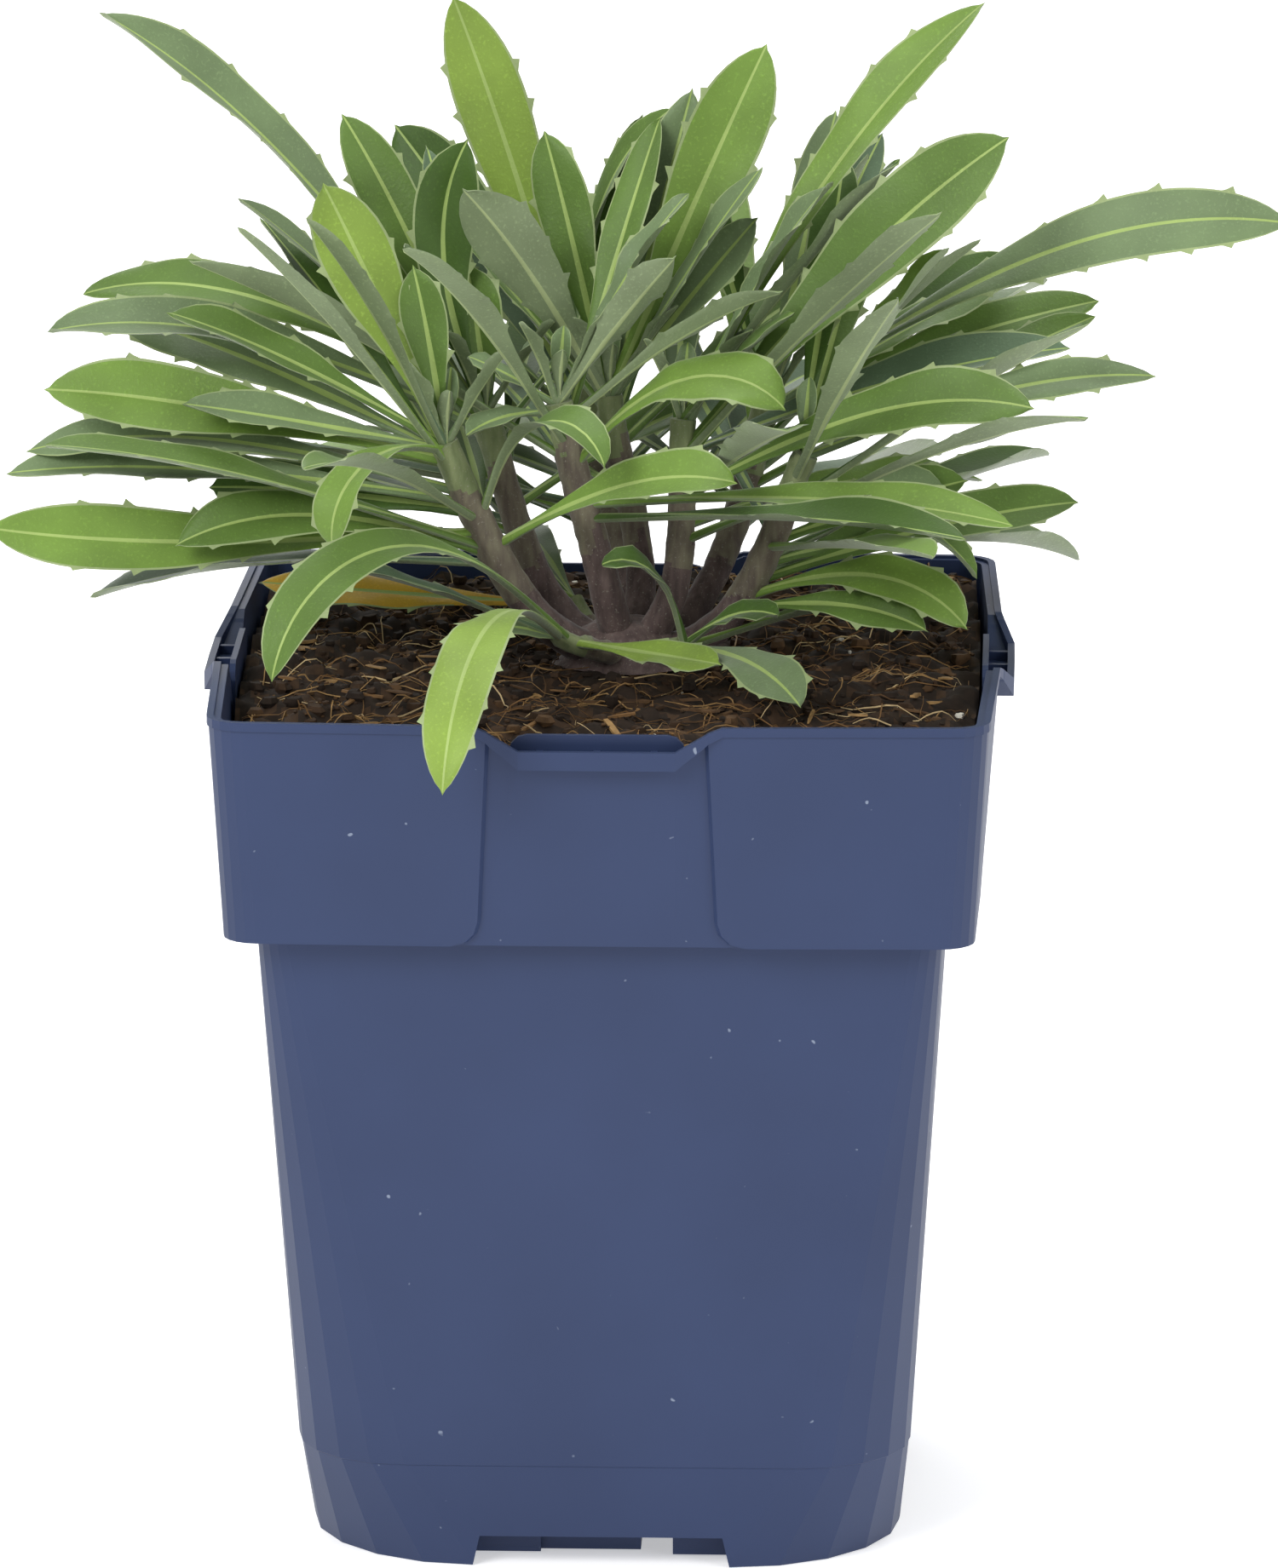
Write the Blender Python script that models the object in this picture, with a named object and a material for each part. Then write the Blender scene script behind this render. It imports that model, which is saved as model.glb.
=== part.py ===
"""A young perennial wallflower, leaves only, in a square navy plastic nursery pot full of compost.

Metres, +Z up. The origin is the middle of the pot's underside, on the boss under its floor.
A bearing is in degrees: 0 comes out to the front (-Y), 90 goes right (+X) and 180 goes back.
"""

import math
import random
from collections import namedtuple

import bmesh
import bpy
from mathutils import Vector
from mathutils.bvhtree import BVHTree

MM = 0.001
CLEAR = 0.3 * MM

# Pot, from its foot to its rim. A half is from the middle to a face.
POT_HEIGHT = 150.4 * MM
BASE_HALF = 50.3 * MM
BASE_CORNER = 29 * MM
LINE_HEIGHT = 18 * MM
LINE_HALF = 52.2 * MM
LINE_CORNER = 19 * MM
LINE_STEP = 0.25 * MM
NECK_HALF = 57.5 * MM
NECK_CORNER = 5 * MM
COLLAR_HEIGHT = 112 * MM
COLLAR_HALF = 61.9 * MM
COLLAR_CORNER = 5 * MM
RIM_HALF = 64.0 * MM
WALL = 1.2 * MM
CORNER_STEPS = 5
SIDE_STATIONS = 9

# Rim bead, and the corner panels that stand out of the collar
BEAD_HEIGHT = 1.5 * MM
BEAD_OUT = 0.9 * MM
PANEL_OUT = 0.9 * MM
PANEL_EDGE_TOP = 17.8 * MM
PANEL_EDGE_LOW = 19.6 * MM
PANEL_FILLET = 4.3 * MM
PANEL_BEVEL = 0.6 * MM
SIDE_BOW = 1.5 * MM

# The lip in the middle of each side, and the label slot behind it
LIP_END = 20.8 * MM
LIP_FULL = 13 * MM
LIP_REST = 3 * MM
LIP_DROP = 3.7 * MM
LIP_OUT = 2.2 * MM
LIP_DEEPER = 1.6 * MM
TONGUE_HALF = 14.7 * MM
TONGUE_DROP = 1.8 * MM
TONGUE_THICK = 1.0 * MM
TONGUE_DEPTH = 13 * MM
TONGUE_CORNER = 3 * MM
SLOT_RIBS = (-9.5 * MM, 0.0, 9.5 * MM)
SLOT_RIB_THICK = 1.2 * MM

# Foot
FLOOR_UNDER = 5.3 * MM
FLOOR_THICK = 1.3 * MM
NOTCH_LOW = 22 * MM
NOTCH_HIGH = 20.6 * MM
BOSS_RADIUS = 15 * MM
FOOT_LIFT = 0.4 * MM
FootPad = namedtuple("FootPad", "start end behind depth")
FOOT_PADS = (
    FootPad(-23.5 * MM, -10.5 * MM, 5.5 * MM, 9 * MM),
    FootPad(-10.5 * MM, 6.5 * MM, 7.2 * MM, 7.3 * MM),
    FootPad(12.0 * MM, 24.0 * MM, 4.6 * MM, 9.9 * MM),
)
DRAIN_RADIUS = 4.0 * MM
DRAIN_PLACES = ((26, 26), (-26, 26), (-26, -26), (26, -26))

# Compost
SOIL_LEVEL = 145.8 * MM
SOIL_RINGS = 8
SOIL_FLAT = 13 * MM
SOIL_TILT_RIGHT = 0.020
SOIL_TILT_BACK = 0.025
SOIL_BUMP = 0.9 * MM

# The crown that every stem comes from: a low mound, flat under
CROWN_X = 2.5 * MM
CROWN_WIDE = 10.5 * MM
CROWN_DEEP = 8.5 * MM
CROWN_TALL = 8.0 * MM
CROWN_FLARE = 1.18
CROWN_SIDES = 16
CROWN_BASE = SOIL_LEVEL + CLEAR

# Stems
STEM_SIDES = 8
STEM_STEPS = 7
BOUGH_END = 0.24

# Leaves. A blade's width and thickness are shares of its full width and its length.
LEAF_STATIONS = (0.0, 0.2, 0.4, 0.575, 0.75, 0.925, 1.0)
YOUNG_STATIONS = (0.0, 0.4, 0.75, 1.0)
YOUNG_LENGTH = 24
PETIOLE_SHARE = 0.19
WIDEST = 0.75
BLADE_START = 0.14
PETIOLE_THICK = 1.7 * MM
BLADE_THICK = 0.95 * MM
TEST_MARGIN = 0.7 * MM
POT_CLEAR = 0.9 * MM
OUTER_PART = 2
NUDGES = ((0, 0), (4, 0), (-4, 0), (0, 4), (0, -4), (7, 3), (-7, 3), (7, -3), (-7, -3), (0, 8), (0, -8),
          (11, 0), (-11, 0), (11, 7), (-11, 7), (15, 0), (-15, 0), (0, 13), (18, 8), (-18, 8))
GOLDEN_TURN = 137.5

# A shoot: where its foot stands on the crown (bearing, and lean from upright), its tip in
# millimetres from the middle of the soil, its thickness at foot and tip, and its share of bare bough.
Shoot = namedtuple("Shoot", "name bearing lean tip foot_thick tip_thick bough")
SHOOTS = (
    Shoot("left", -62, 62, (-28, -9, 40), 6.2, 4.4, BOUGH_END),
    Shoot("left_back", -118, 58, (-22, 8, 42), 5.8, 4.2, BOUGH_END),
    Shoot("centre", -30, 22, (-9, -3, 46), 6.2, 4.2, BOUGH_END),
    Shoot("back", 165, 40, (-1, 12, 44), 5.6, 4.2, BOUGH_END),
    Shoot("mid_right", 70, 33, (12, 3, 42), 5.6, 4.2, BOUGH_END),
    Shoot("right", 80, 68, (33, -6, 38), 6.0, 4.2, BOUGH_END),
    Shoot("right_back", 128, 62, (26, 21, 41), 5.6, 4.2, BOUGH_END),
    Shoot("rear", 176, 72, (-6, 34, 40), 5.6, 4.2, BOUGH_END),
    Shoot("low_left", -14, 68, (-9, -12, 8), 4.2, 3.4, 0.0),
    Shoot("low_right", 40, 68, (13, -11, 6), 4.2, 3.4, 0.0),
    Shoot("low_back", -150, 70, (-7, 14, 8), 4.2, 3.4, 0.0),
)

# A leaf: its shoot and how far up it, the bearing and the rise it sets off with, length and
# width in millimetres, then how far it droops, sweeps round, rolls and twists, and its fold, in degrees.
Leaf = namedtuple("Leaf", "shoot at turn rise length width droop sweep roll twist fold")
LEAVES = (
    # left: the long leaves and the fan that leaves to that side
    Leaf("left_back", 0.95, -88, 56, 97, 12.5, 27, 0, -24, 0, 28),
    Leaf("left", 0.62, -86, -3, 84, 12, -12, 0, -15, -60, 10),
    Leaf("left", 0.52, -80, 19, 56, 11, 48, 0, -45, 0, 20),
    Leaf("left", 0.74, -92, 8, 79, 10, 16, 0, -35, 10, 20),
    Leaf("left", 0.78, -98, 14, 76, 10, 30, 0, -30, 0, 20),
    Leaf("left", 0.70, -100, 6, 46, 12, 10, 0, -45, 0, 8),
    Leaf("left", 0.92, -93, 13, 70, 13, 12, 0, -45, -10, 8),
    Leaf("left", 0.97, -85, 12, 45, 8.5, 4, 0, -40, 10, 20),
    Leaf("left", 0.99, -96, 29, 52, 9, 14, 0, -30, 10, 20),
    Leaf("left", 1.0, -110, 64, 48, 13, 3, 0, -75, 0, 10),
    Leaf("left", 0.98, -120, 72, 31, 8.5, 6, 0, -60, 0, 20),
    Leaf("left_back", 0.90, -82, 27, 79, 12, 39, 0, -35, 15, 16),
    Leaf("left_back", 0.97, -103, 30, 76, 10.5, 50, 0, -35, 0, 18),
    Leaf("left_back", 1.0, -118, 64, 56, 10, 12, 0, -60, 10, 14),
    Leaf("left_back", 0.96, -90, 70, 50, 11.5, -50, 0, -80, 0, 14),
    Leaf("left_back", 0.90, -120, 84, 29, 10.5, 4, 0, -55, 0, 16),
    Leaf("left", 0.97, -36, 15, 38, 9.5, 120, -6, 0, 0, 12),
    Leaf("left", 0.94, -106, 22, 66, 10, 14, 0, -45, 0, 12),
    # centre: tall faces, young leaves and the arched ones in front
    Leaf("rear", 0.92, -114, 72, 75, 12.5, 6, 0, -62, 0, 8),
    Leaf("rear", 0.97, 82, 92, 56, 7.5, 58, 0, 25, 0, 20),
    Leaf("rear", 0.95, -130, 46, 62, 14, 6, 0, -60, 0, 8),
    Leaf("back", 0.98, 106, 66, 66, 13.5, 2, 0, 75, 0, 8),
    Leaf("back", 0.94, 135, 70, 56, 10, 0, 0, 30, 0, 22),
    Leaf("back", 0.96, -62, 60, 48, 12.5, 14, 0, 55, 0, 12),
    Leaf("back", 1.0, -130, 73, 46, 10, 4, 0, -60, 0, 12),
    Leaf("centre", 1.0, 78, 54, 33, 8, 6, 0, -50, 0, 14),
    Leaf("centre", 0.9, 80, 40, 45, 7, 22, 0, -30, 0, 18),
    Leaf("centre", 0.7, 70, 50, 46, 13, 98, 0, 30, 0, 10),
    Leaf("centre", 0.98, -80, 34, 18, 6, 12, 0, -20, 0, 18),
    Leaf("centre", 0.95, -62, 5, 18, 5.5, 40, 0, -20, 0, 18),
    Leaf("left", 0.55, 64, 32, 50, 10.5, 40, 0, 40, 0, 12),
    Leaf("left", 0.66, 48, 68, 42, 9, 138, 0, 10, 0, 16),
    Leaf("rear", 1.0, 100, 84, 49, 8, 6, 0, 60, 0, 14),
    Leaf("rear", 0.86, -112, 64, 43, 11, 0, 0, -60, 0, 12),
    Leaf("back", 0.97, 100, 52, 40, 9, 4, 0, 50, 0, 14),
    # right: the long leaves and the fan that leaves to that side
    Leaf("mid_right", 0.98, 101, 61, 88, 12, 22, 0, 30, 0, 20),
    Leaf("mid_right", 0.80, 82, 51, 80, 15, 16, 0, 70, 0, 8),
    Leaf("mid_right", 1.0, 88, 53, 58, 9, 6, 0, -20, 10, 20),
    Leaf("mid_right", 0.62, 77, 28, 68, 12.5, 40, 0, 45, 0, 12),
    Leaf("mid_right", 0.42, 66, 26, 62, 10, 80, 0, 25, -30, 14),
    Leaf("right_back", 0.95, 84, 36, 99, 12.5, 44, 0, 10, 60, 12),
    Leaf("right_back", 0.98, 110, 17, 62, 10, 10, 0, 35, 0, 18),
    Leaf("right_back", 0.92, 126, 28, 58, 11, 16, 0, 30, 0, 16),
    Leaf("right_back", 1.0, 150, 66, 52, 10, 4, 0, 50, 0, 16),
    Leaf("right", 0.98, 100, 20, 62, 8, 26, 0, 40, 0, 18),
    Leaf("right", 0.60, 95, 20, 35, 9.5, 8, 0, 45, 0, 16),
    Leaf("right", 0.42, 103, 16, 58, 10, 14, 0, 40, 0, 16),
    Leaf("right", 0.50, 112, 10, 35, 8.5, 6, 0, 40, 0, 16),
    Leaf("right", 0.34, 66, 22, 45, 9.5, 72, 0, 40, 0, 12),
    Leaf("right", 0.28, 62, 12, 38, 7.5, 34, 0, 40, 0, 12),
    Leaf("right_back", 0.97, 112, 26, 50, 9, 6, 0, 20, 0, 16),
    Leaf("right_back", 0.85, 100, 12, 48, 10, 12, 0, 40, 0, 12),
    Leaf("right_back", 0.99, 40, 62, 26, 8, 20, 0, 10, 0, 16),
    Leaf("mid_right", 1.0, 60, 48, 30, 8, 14, 0, 20, 0, 14),
    Leaf("right", 0.72, 92, 14, 28, 9, 10, 0, 40, 0, 12),
    # foot: the low leaves round the crown, over the soil and the rim
    Leaf("low_right", 0.9, 72, 40, 19, 7, 60, 0, 20, 0, 12),
    Leaf("low_right", 0.8, 30, 9, 42, 10, 34, 0, 20, 0, 8),
    Leaf("low_right", 0.95, -62, 76, 25, 7.5, 100, 0, -20, 0, 16),
    Leaf("low_left", 0.75, 58, 2, 32, 8.5, 2, 0, 20, 0, 8),
    Leaf("low_left", 0.45, -84, 22, 18, 6.5, 24, 0, -20, 0, 12),
    Leaf("low_left", 0.9, -13, 25, 85, 11, 104, 0, 0, 0, 6),
    Leaf("low_left", 0.7, -44, 42, 84, 11, 122, 0, -20, 0, 12),
    Leaf("low_back", 0.8, -107, 0, 58, 9, 0, 0, -30, 0, 8),
)

# The seeded leaves that fill the rest, for each shoot: how many, and the bearings they keep to.
Fill = namedtuple("Fill", "shoot count middle spread")
FILLS = (
    Fill("left", 9, -115, 75),
    Fill("left_back", 10, -150, 70),
    Fill("centre", 9, 0, 180),
    Fill("back", 8, 180, 100),
    Fill("mid_right", 7, 110, 90),
    Fill("right", 10, 105, 80),
    Fill("right_back", 12, 140, 80),
    Fill("rear", 16, 180, 115),
    Fill("low_left", 1, -100, 20),
    Fill("low_right", 2, 95, 30),
    Fill("low_back", 4, 180, 70),
)
SEED = 41

# Finishes: colour, roughness
NAVY = ((0.030, 0.045, 0.110), 0.5)
PEAT = ((0.035, 0.024, 0.016), 0.95)
BARK = ((0.095, 0.070, 0.068), 0.7)
GREEN = ((0.095, 0.200, 0.045), 0.6)


def clear_scene():
    for obj in list(bpy.data.objects):
        bpy.data.objects.remove(obj, do_unlink=True)


def finish(name, look):
    colour, roughness = look
    material = bpy.data.materials.new(name)
    material.use_nodes = True
    shader = material.node_tree.nodes["Principled BSDF"]
    shader.inputs["Base Color"].default_value = (*colour, 1)
    shader.inputs["Roughness"].default_value = roughness
    shader.inputs["Metallic"].default_value = 0
    return material


def object_from(name, points, faces, material=None, collection=None):
    mesh = bpy.data.meshes.new(name)
    mesh.from_pydata(points, [], faces)
    if material:
        mesh.materials.append(material)
    obj = bpy.data.objects.new(name, mesh)
    (collection or bpy.context.scene.collection).objects.link(obj)
    return obj


def smooth(share):
    share = min(max(share, 0.0), 1.0)
    return share * share * (3 - 2 * share)


# Pot

def lip(along):
    """How far the lip has come out, from 0 on the panels to 1 in the middle of the side."""
    return smooth((LIP_END - abs(along)) / (LIP_END - LIP_FULL))


def panel_edge(height):
    """Where the corner panels end at this height: nearly upright, with a round lower corner."""
    down = (POT_HEIGHT - height) / (POT_HEIGHT - COLLAR_HEIGHT)
    edge = PANEL_EDGE_TOP + (PANEL_EDGE_LOW - PANEL_EDGE_TOP) * down
    above = min((height - COLLAR_HEIGHT) / PANEL_FILLET, 1.0)
    return edge + PANEL_FILLET * (1 - math.sqrt(1 - (1 - above) ** 2))


def side_bow(along, height):
    """How far the middle of a side bows out of the square, most of all at the rim."""
    return SIDE_BOW * (1 - (along / RIM_HALF) ** 2) * (height / POT_HEIGHT) ** 2


Ring = namedtuple("Ring", "half corner height out panel lip_out lip_drop")


def wall_ring(half, corner, height, out=0.0, panel=0.0, lip_out=0.0, lip_drop=0.0):
    return Ring(half, corner, height, out, panel, lip_out, lip_drop)


def ring_points(ring):
    """The points of one ring, side by side and corner by corner, anticlockwise from the front."""
    edge = panel_edge(max(ring.height, COLLAR_HEIGHT))
    stations = [-edge - LIP_REST, -edge - PANEL_BEVEL, -edge, -LIP_FULL, 0.0]
    stations += [-station for station in reversed(stations[:-1])]
    reach = (ring.half - ring.corner) / (COLLAR_HALF - COLLAR_CORNER)
    points = []
    for quarter in range(4):
        spin = quarter * math.pi / 2
        side = []
        for station in stations:
            along = station * min(reach, 1.0)
            raised = ring.panel if abs(station) > edge + PANEL_BEVEL / 2 else 0.0
            bump = lip(station)
            out = ring.half + ring.out + raised + ring.lip_out * bump + side_bow(station, ring.height)
            side.append((along, -out, ring.height - ring.lip_drop * bump))
        middle = ring.half - ring.corner
        radius = ring.corner + ring.out + ring.panel
        for step in range(CORNER_STEPS + 1):
            angle = -math.pi / 2 + step * math.pi / 2 / CORNER_STEPS
            side.append((middle + radius * math.cos(angle), -middle + radius * math.sin(angle), ring.height))
        for x, y, z in side:
            turned = Vector((x * math.cos(spin) - y * math.sin(spin), x * math.sin(spin) + y * math.cos(spin), z))
            points.append(turned)
    return points


def half_at(height):
    """The outer wall's half width and corner radius between the mould line and the neck, or on the collar."""
    if height >= COLLAR_HEIGHT:
        share = (height - COLLAR_HEIGHT) / (POT_HEIGHT - COLLAR_HEIGHT)
        return COLLAR_HALF + (RIM_HALF - COLLAR_HALF) * share, COLLAR_CORNER
    if height >= LINE_HEIGHT:
        share = (height - LINE_HEIGHT) / (COLLAR_HEIGHT - LINE_HEIGHT)
        return LINE_HALF + (NECK_HALF - LINE_HALF) * share, LINE_CORNER + (NECK_CORNER - LINE_CORNER) * share
    share = height / LINE_HEIGHT
    return BASE_HALF + (LINE_HALF - BASE_HALF) * share, BASE_CORNER + (LINE_CORNER - BASE_CORNER) * share


def pot_profile():
    """The pot's section, from the middle of its foot up the outside, over the rim and down inside."""
    base_half, base_corner = half_at(0.0)
    foot = (base_half - WALL, base_corner - WALL)
    rings = [
        wall_ring(*foot, FLOOR_UNDER),
        wall_ring(*foot, 0.0),
        wall_ring(base_half, base_corner, 0.0),
        wall_ring(LINE_HALF - LINE_STEP, LINE_CORNER, LINE_HEIGHT),
        wall_ring(LINE_HALF, LINE_CORNER, LINE_HEIGHT + LINE_STEP),
    ]
    rings.append(wall_ring(NECK_HALF, NECK_CORNER, COLLAR_HEIGHT))
    for height in (0.0, PANEL_FILLET / 7, PANEL_FILLET / 2, PANEL_FILLET):
        half, corner = half_at(COLLAR_HEIGHT + height)
        rings.append(wall_ring(half, corner, COLLAR_HEIGHT + height, panel=PANEL_OUT))
    half, corner = half_at(POT_HEIGHT)
    rim = POT_HEIGHT - BEAD_HEIGHT
    deeper = LIP_DROP + LIP_DEEPER
    bead = PANEL_OUT + BEAD_OUT / 3
    inside = PANEL_OUT + BEAD_OUT / 3 - WALL
    rings += [
        wall_ring(half, corner, rim, panel=PANEL_OUT, lip_drop=deeper),
        wall_ring(half, corner, rim, out=bead, lip_out=LIP_OUT, lip_drop=deeper),
        wall_ring(half, corner, POT_HEIGHT, out=bead, lip_out=LIP_OUT, lip_drop=LIP_DROP),
        wall_ring(half, corner, POT_HEIGHT, out=inside, lip_out=LIP_OUT, lip_drop=LIP_DROP),
        wall_ring(half, corner, rim + MM, out=inside, lip_out=LIP_OUT, lip_drop=deeper),
        wall_ring(half, corner, rim + MM, out=-WALL, lip_drop=deeper),
    ]
    ledge = COLLAR_HEIGHT + WALL
    rings.append(inner_ring(ledge, inside_collar=True))
    rings.append(inner_ring(ledge, inside_collar=False))
    for height in (LINE_HEIGHT, FLOOR_UNDER + FLOOR_THICK):
        rings.append(inner_ring(height, inside_collar=False))
    return rings


def inner_ring(height, inside_collar, shrink=0.0):
    """The wall's inner face at this height, or the same drawn in by a little for the soil."""
    if inside_collar:
        half, corner = half_at(height)
    else:
        half, corner = half_at(min(height, COLLAR_HEIGHT - MM / 1000))
    inset = WALL + shrink
    return wall_ring(half - inset, max(corner - inset, MM), height)


def box(name, low, high, collection):
    corners = [(x, y, z) for x in (low[0], high[0]) for y in (low[1], high[1]) for z in (low[2], high[2])]
    faces = [(0, 1, 3, 2), (4, 6, 7, 5), (0, 4, 5, 1), (2, 3, 7, 6), (0, 2, 6, 4), (1, 5, 7, 3)]
    return object_from(name, corners, faces, collection=collection)


def prism(name, outline, low, high, collection):
    """An outline in X and Z, drawn through from Y low to Y high."""
    count = len(outline)
    points = [(x, y, z) for y in (low, high) for x, z in outline]
    faces = [tuple(range(count)), tuple(range(2 * count - 1, count - 1, -1))]
    for i in range(count):
        following = (i + 1) % count
        faces.append((i, i + count, following + count, following))
    return object_from(name, points, faces, collection=collection)


def cylinder(name, radius, low, high, centre, collection, sides=12):
    mesh = bpy.data.meshes.new(name)
    drawing = bmesh.new()
    bmesh.ops.create_cone(drawing, cap_ends=True, segments=sides, radius1=radius, radius2=radius, depth=high - low)
    bmesh.ops.translate(drawing, verts=drawing.verts, vec=(centre[0], centre[1], (low + high) / 2))
    drawing.to_mesh(mesh)
    drawing.free()
    obj = bpy.data.objects.new(name, mesh)
    collection.objects.link(obj)
    return obj


def turn_quarter(obj, quarter):
    angle = quarter * math.pi / 2
    for vertex in obj.data.vertices:
        x, y, z = vertex.co
        vertex.co = (x * math.cos(angle) - y * math.sin(angle), x * math.sin(angle) + y * math.cos(angle), z)


def outward(obj):
    """Turns every face of a closed mesh outward."""
    drawing = bmesh.new()
    drawing.from_mesh(obj.data)
    bmesh.ops.recalc_face_normals(drawing, faces=drawing.faces)
    drawing.to_mesh(obj.data)
    drawing.free()


def combine(obj, collection, operation, solver="EXACT"):
    """Applies one Boolean with a whole collection, then removes the collection's objects."""
    for helper in collection.objects:
        outward(helper)
    modifier = obj.modifiers.new(operation.title(), "BOOLEAN")
    modifier.operation = operation
    modifier.operand_type = "COLLECTION"
    modifier.collection = collection
    modifier.solver = solver
    bpy.context.view_layer.update()
    graph = bpy.context.evaluated_depsgraph_get()
    joined = bpy.data.meshes.new_from_object(obj.evaluated_get(graph))
    obj.modifiers.remove(modifier)
    obj.data = joined
    for helper in list(collection.objects):
        bpy.data.objects.remove(helper, do_unlink=True)
    bpy.data.collections.remove(collection)


def new_collection(name):
    collection = bpy.data.collections.new(name)
    bpy.context.scene.collection.children.link(collection)
    return collection


def tongue_outline():
    """The label tongue's front view: a tall plate with two round upper corners."""
    top = POT_HEIGHT - TONGUE_DROP
    outline = [(-TONGUE_HALF, top - TONGUE_DEPTH), (TONGUE_HALF, top - TONGUE_DEPTH)]
    for side, start in ((1, 0), (-1, math.pi / 2)):
        for step in range(4):
            angle = start + step * math.pi / 6
            x = side * (TONGUE_HALF - TONGUE_CORNER) + TONGUE_CORNER * math.cos(angle)
            outline.append((x, top - TONGUE_CORNER + TONGUE_CORNER * math.sin(angle)))
    return outline


def add_pot_details(collection):
    """The label tongues with their ribs, the pads inside the foot and the boss under the floor."""
    half, _ = half_at(POT_HEIGHT - TONGUE_DEPTH)
    face = -(half + side_bow(0.0, POT_HEIGHT - TONGUE_DEPTH) - 0.1 * MM)
    slot_top = POT_HEIGHT - LIP_DROP - 0.6 * MM
    slot_floor = POT_HEIGHT - BEAD_HEIGHT - LIP_DROP - LIP_DEEPER
    lip_inside = -(RIM_HALF + SIDE_BOW + LIP_OUT + PANEL_OUT + BEAD_OUT / 3 - WALL / 2)
    base = BASE_HALF - WALL
    for quarter in range(4):
        name = f"detail_{quarter}"
        pieces = [prism(name, tongue_outline(), face, face + TONGUE_THICK, collection)]
        for place in SLOT_RIBS:
            low = (place - SLOT_RIB_THICK / 2, lip_inside, slot_floor + 0.4 * MM)
            high = (place + SLOT_RIB_THICK / 2, face + TONGUE_THICK / 2, slot_top)
            pieces.append(box(name, low, high, collection))
        for pad in FOOT_PADS:
            low = (pad.start, -base + pad.behind, FOOT_LIFT)
            high = (pad.end, -base + pad.behind + pad.depth, FLOOR_UNDER + FLOOR_THICK / 2)
            pieces.append(box(name, low, high, collection))
        for piece in pieces:
            turn_quarter(piece, quarter)
    cylinder("boss", BOSS_RADIUS, 0.0, FLOOR_UNDER + FLOOR_THICK / 2, (0, 0), collection, sides=24)


def add_pot_cuts(collection):
    """The notch in the middle of each side of the foot, and the drain holes in the floor."""
    for quarter in range(4):
        outline = [(-NOTCH_LOW, -MM), (NOTCH_LOW, -MM), (NOTCH_HIGH, FLOOR_UNDER), (-NOTCH_HIGH, FLOOR_UNDER)]
        notch = prism(f"notch_{quarter}", outline, -BASE_HALF - 2 * MM, -BASE_HALF + 1.5 * WALL, collection)
        turn_quarter(notch, quarter)
    for number, (x, y) in enumerate(DRAIN_PLACES):
        centre = (x * MM, y * MM)
        cylinder(f"drain_{number}", DRAIN_RADIUS, 4 * MM, 9 * MM, centre, collection, sides=10)


def loft(rings):
    """A closed solid through rings of the same number of points, with a fan on each end."""
    points = [point for ring in rings for point in ring]
    count = len(rings[0])
    faces = []
    for row in range(len(rings) - 1):
        for i in range(count):
            following = (i + 1) % count
            low, high = row * count, (row + 1) * count
            faces.append((low + i, low + following, high + following, high + i))
    for row, flip in ((0, True), (len(rings) - 1, False)):
        middle = len(points)
        ring = rings[row]
        points.append(sum(ring, Vector()) / count)
        for i in range(count):
            corner = (row * count + i, row * count + (i + 1) % count, middle)
            faces.append(corner[::-1] if flip else corner)
    return points, faces


def build_pot(material):
    rings = [ring_points(ring) for ring in pot_profile()]
    pot = object_from("pot", *loft(rings), material=material)
    outward(pot)
    details = new_collection("pot details")
    add_pot_details(details)
    combine(pot, details, "UNION")
    cuts = new_collection("pot cuts")
    add_pot_cuts(cuts)
    combine(pot, cuts, "DIFFERENCE")
    keep_largest(pot)
    return pot


# Compost

def soil_height(x, y):
    """The surface of the compost: flat at the crown, lower at the front left, up to the rim at the back right."""
    far = math.hypot(x - CROWN_X, y)
    rough = smooth((far - SOIL_FLAT) / (12 * MM))
    waves = (
        math.sin(310 * x + 1.3) * math.cos(270 * y - 0.4)
        + 0.7 * math.sin(560 * x - 430 * y + 2.1)
        + 0.5 * math.cos(820 * y + 390 * x)
    )
    tilt = SOIL_TILT_RIGHT * (x - CROWN_X) + SOIL_TILT_BACK * y
    edge = max(abs(x), abs(y)) / RIM_HALF
    sunk = 1.2 * MM * smooth((edge - 0.8) / 0.2)
    return SOIL_LEVEL + rough * (tilt + SOIL_BUMP * waves - sunk)


def build_soil(material):
    low = FLOOR_UNDER + FLOOR_THICK + CLEAR
    rings = []
    for height in (low, LINE_HEIGHT, COLLAR_HEIGHT + WALL - CLEAR):
        rings.append(soil_ring(height, False))
    rings.append(soil_ring(COLLAR_HEIGHT + WALL + CLEAR, False))
    rings.append(soil_ring(COLLAR_HEIGHT + WALL + CLEAR, True))
    edge = soil_ring(SOIL_LEVEL - 9 * MM, True)
    rings.append(edge)
    for step in range(SOIL_RINGS):
        share = 1 - step / SOIL_RINGS
        rings.append([
            Vector((point.x * share, point.y * share, soil_height(point.x * share, point.y * share)))
            for point in edge
        ])
    soil = object_from("soil", *loft(rings), material=material)
    outward(soil)
    return soil


def soil_ring(height, inside_collar):
    """The pot's inner ring, drawn in by the clearance, with fewer points along each side."""
    points = ring_points(inner_ring(height, inside_collar, shrink=CLEAR))
    per_side = SIDE_STATIONS + CORNER_STEPS + 1
    keep = [0, 3, 5, SIDE_STATIONS - 1] + list(range(SIDE_STATIONS, per_side))
    return [points[quarter * per_side + i] for quarter in range(4) for i in keep]


# Crown and stems

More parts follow.
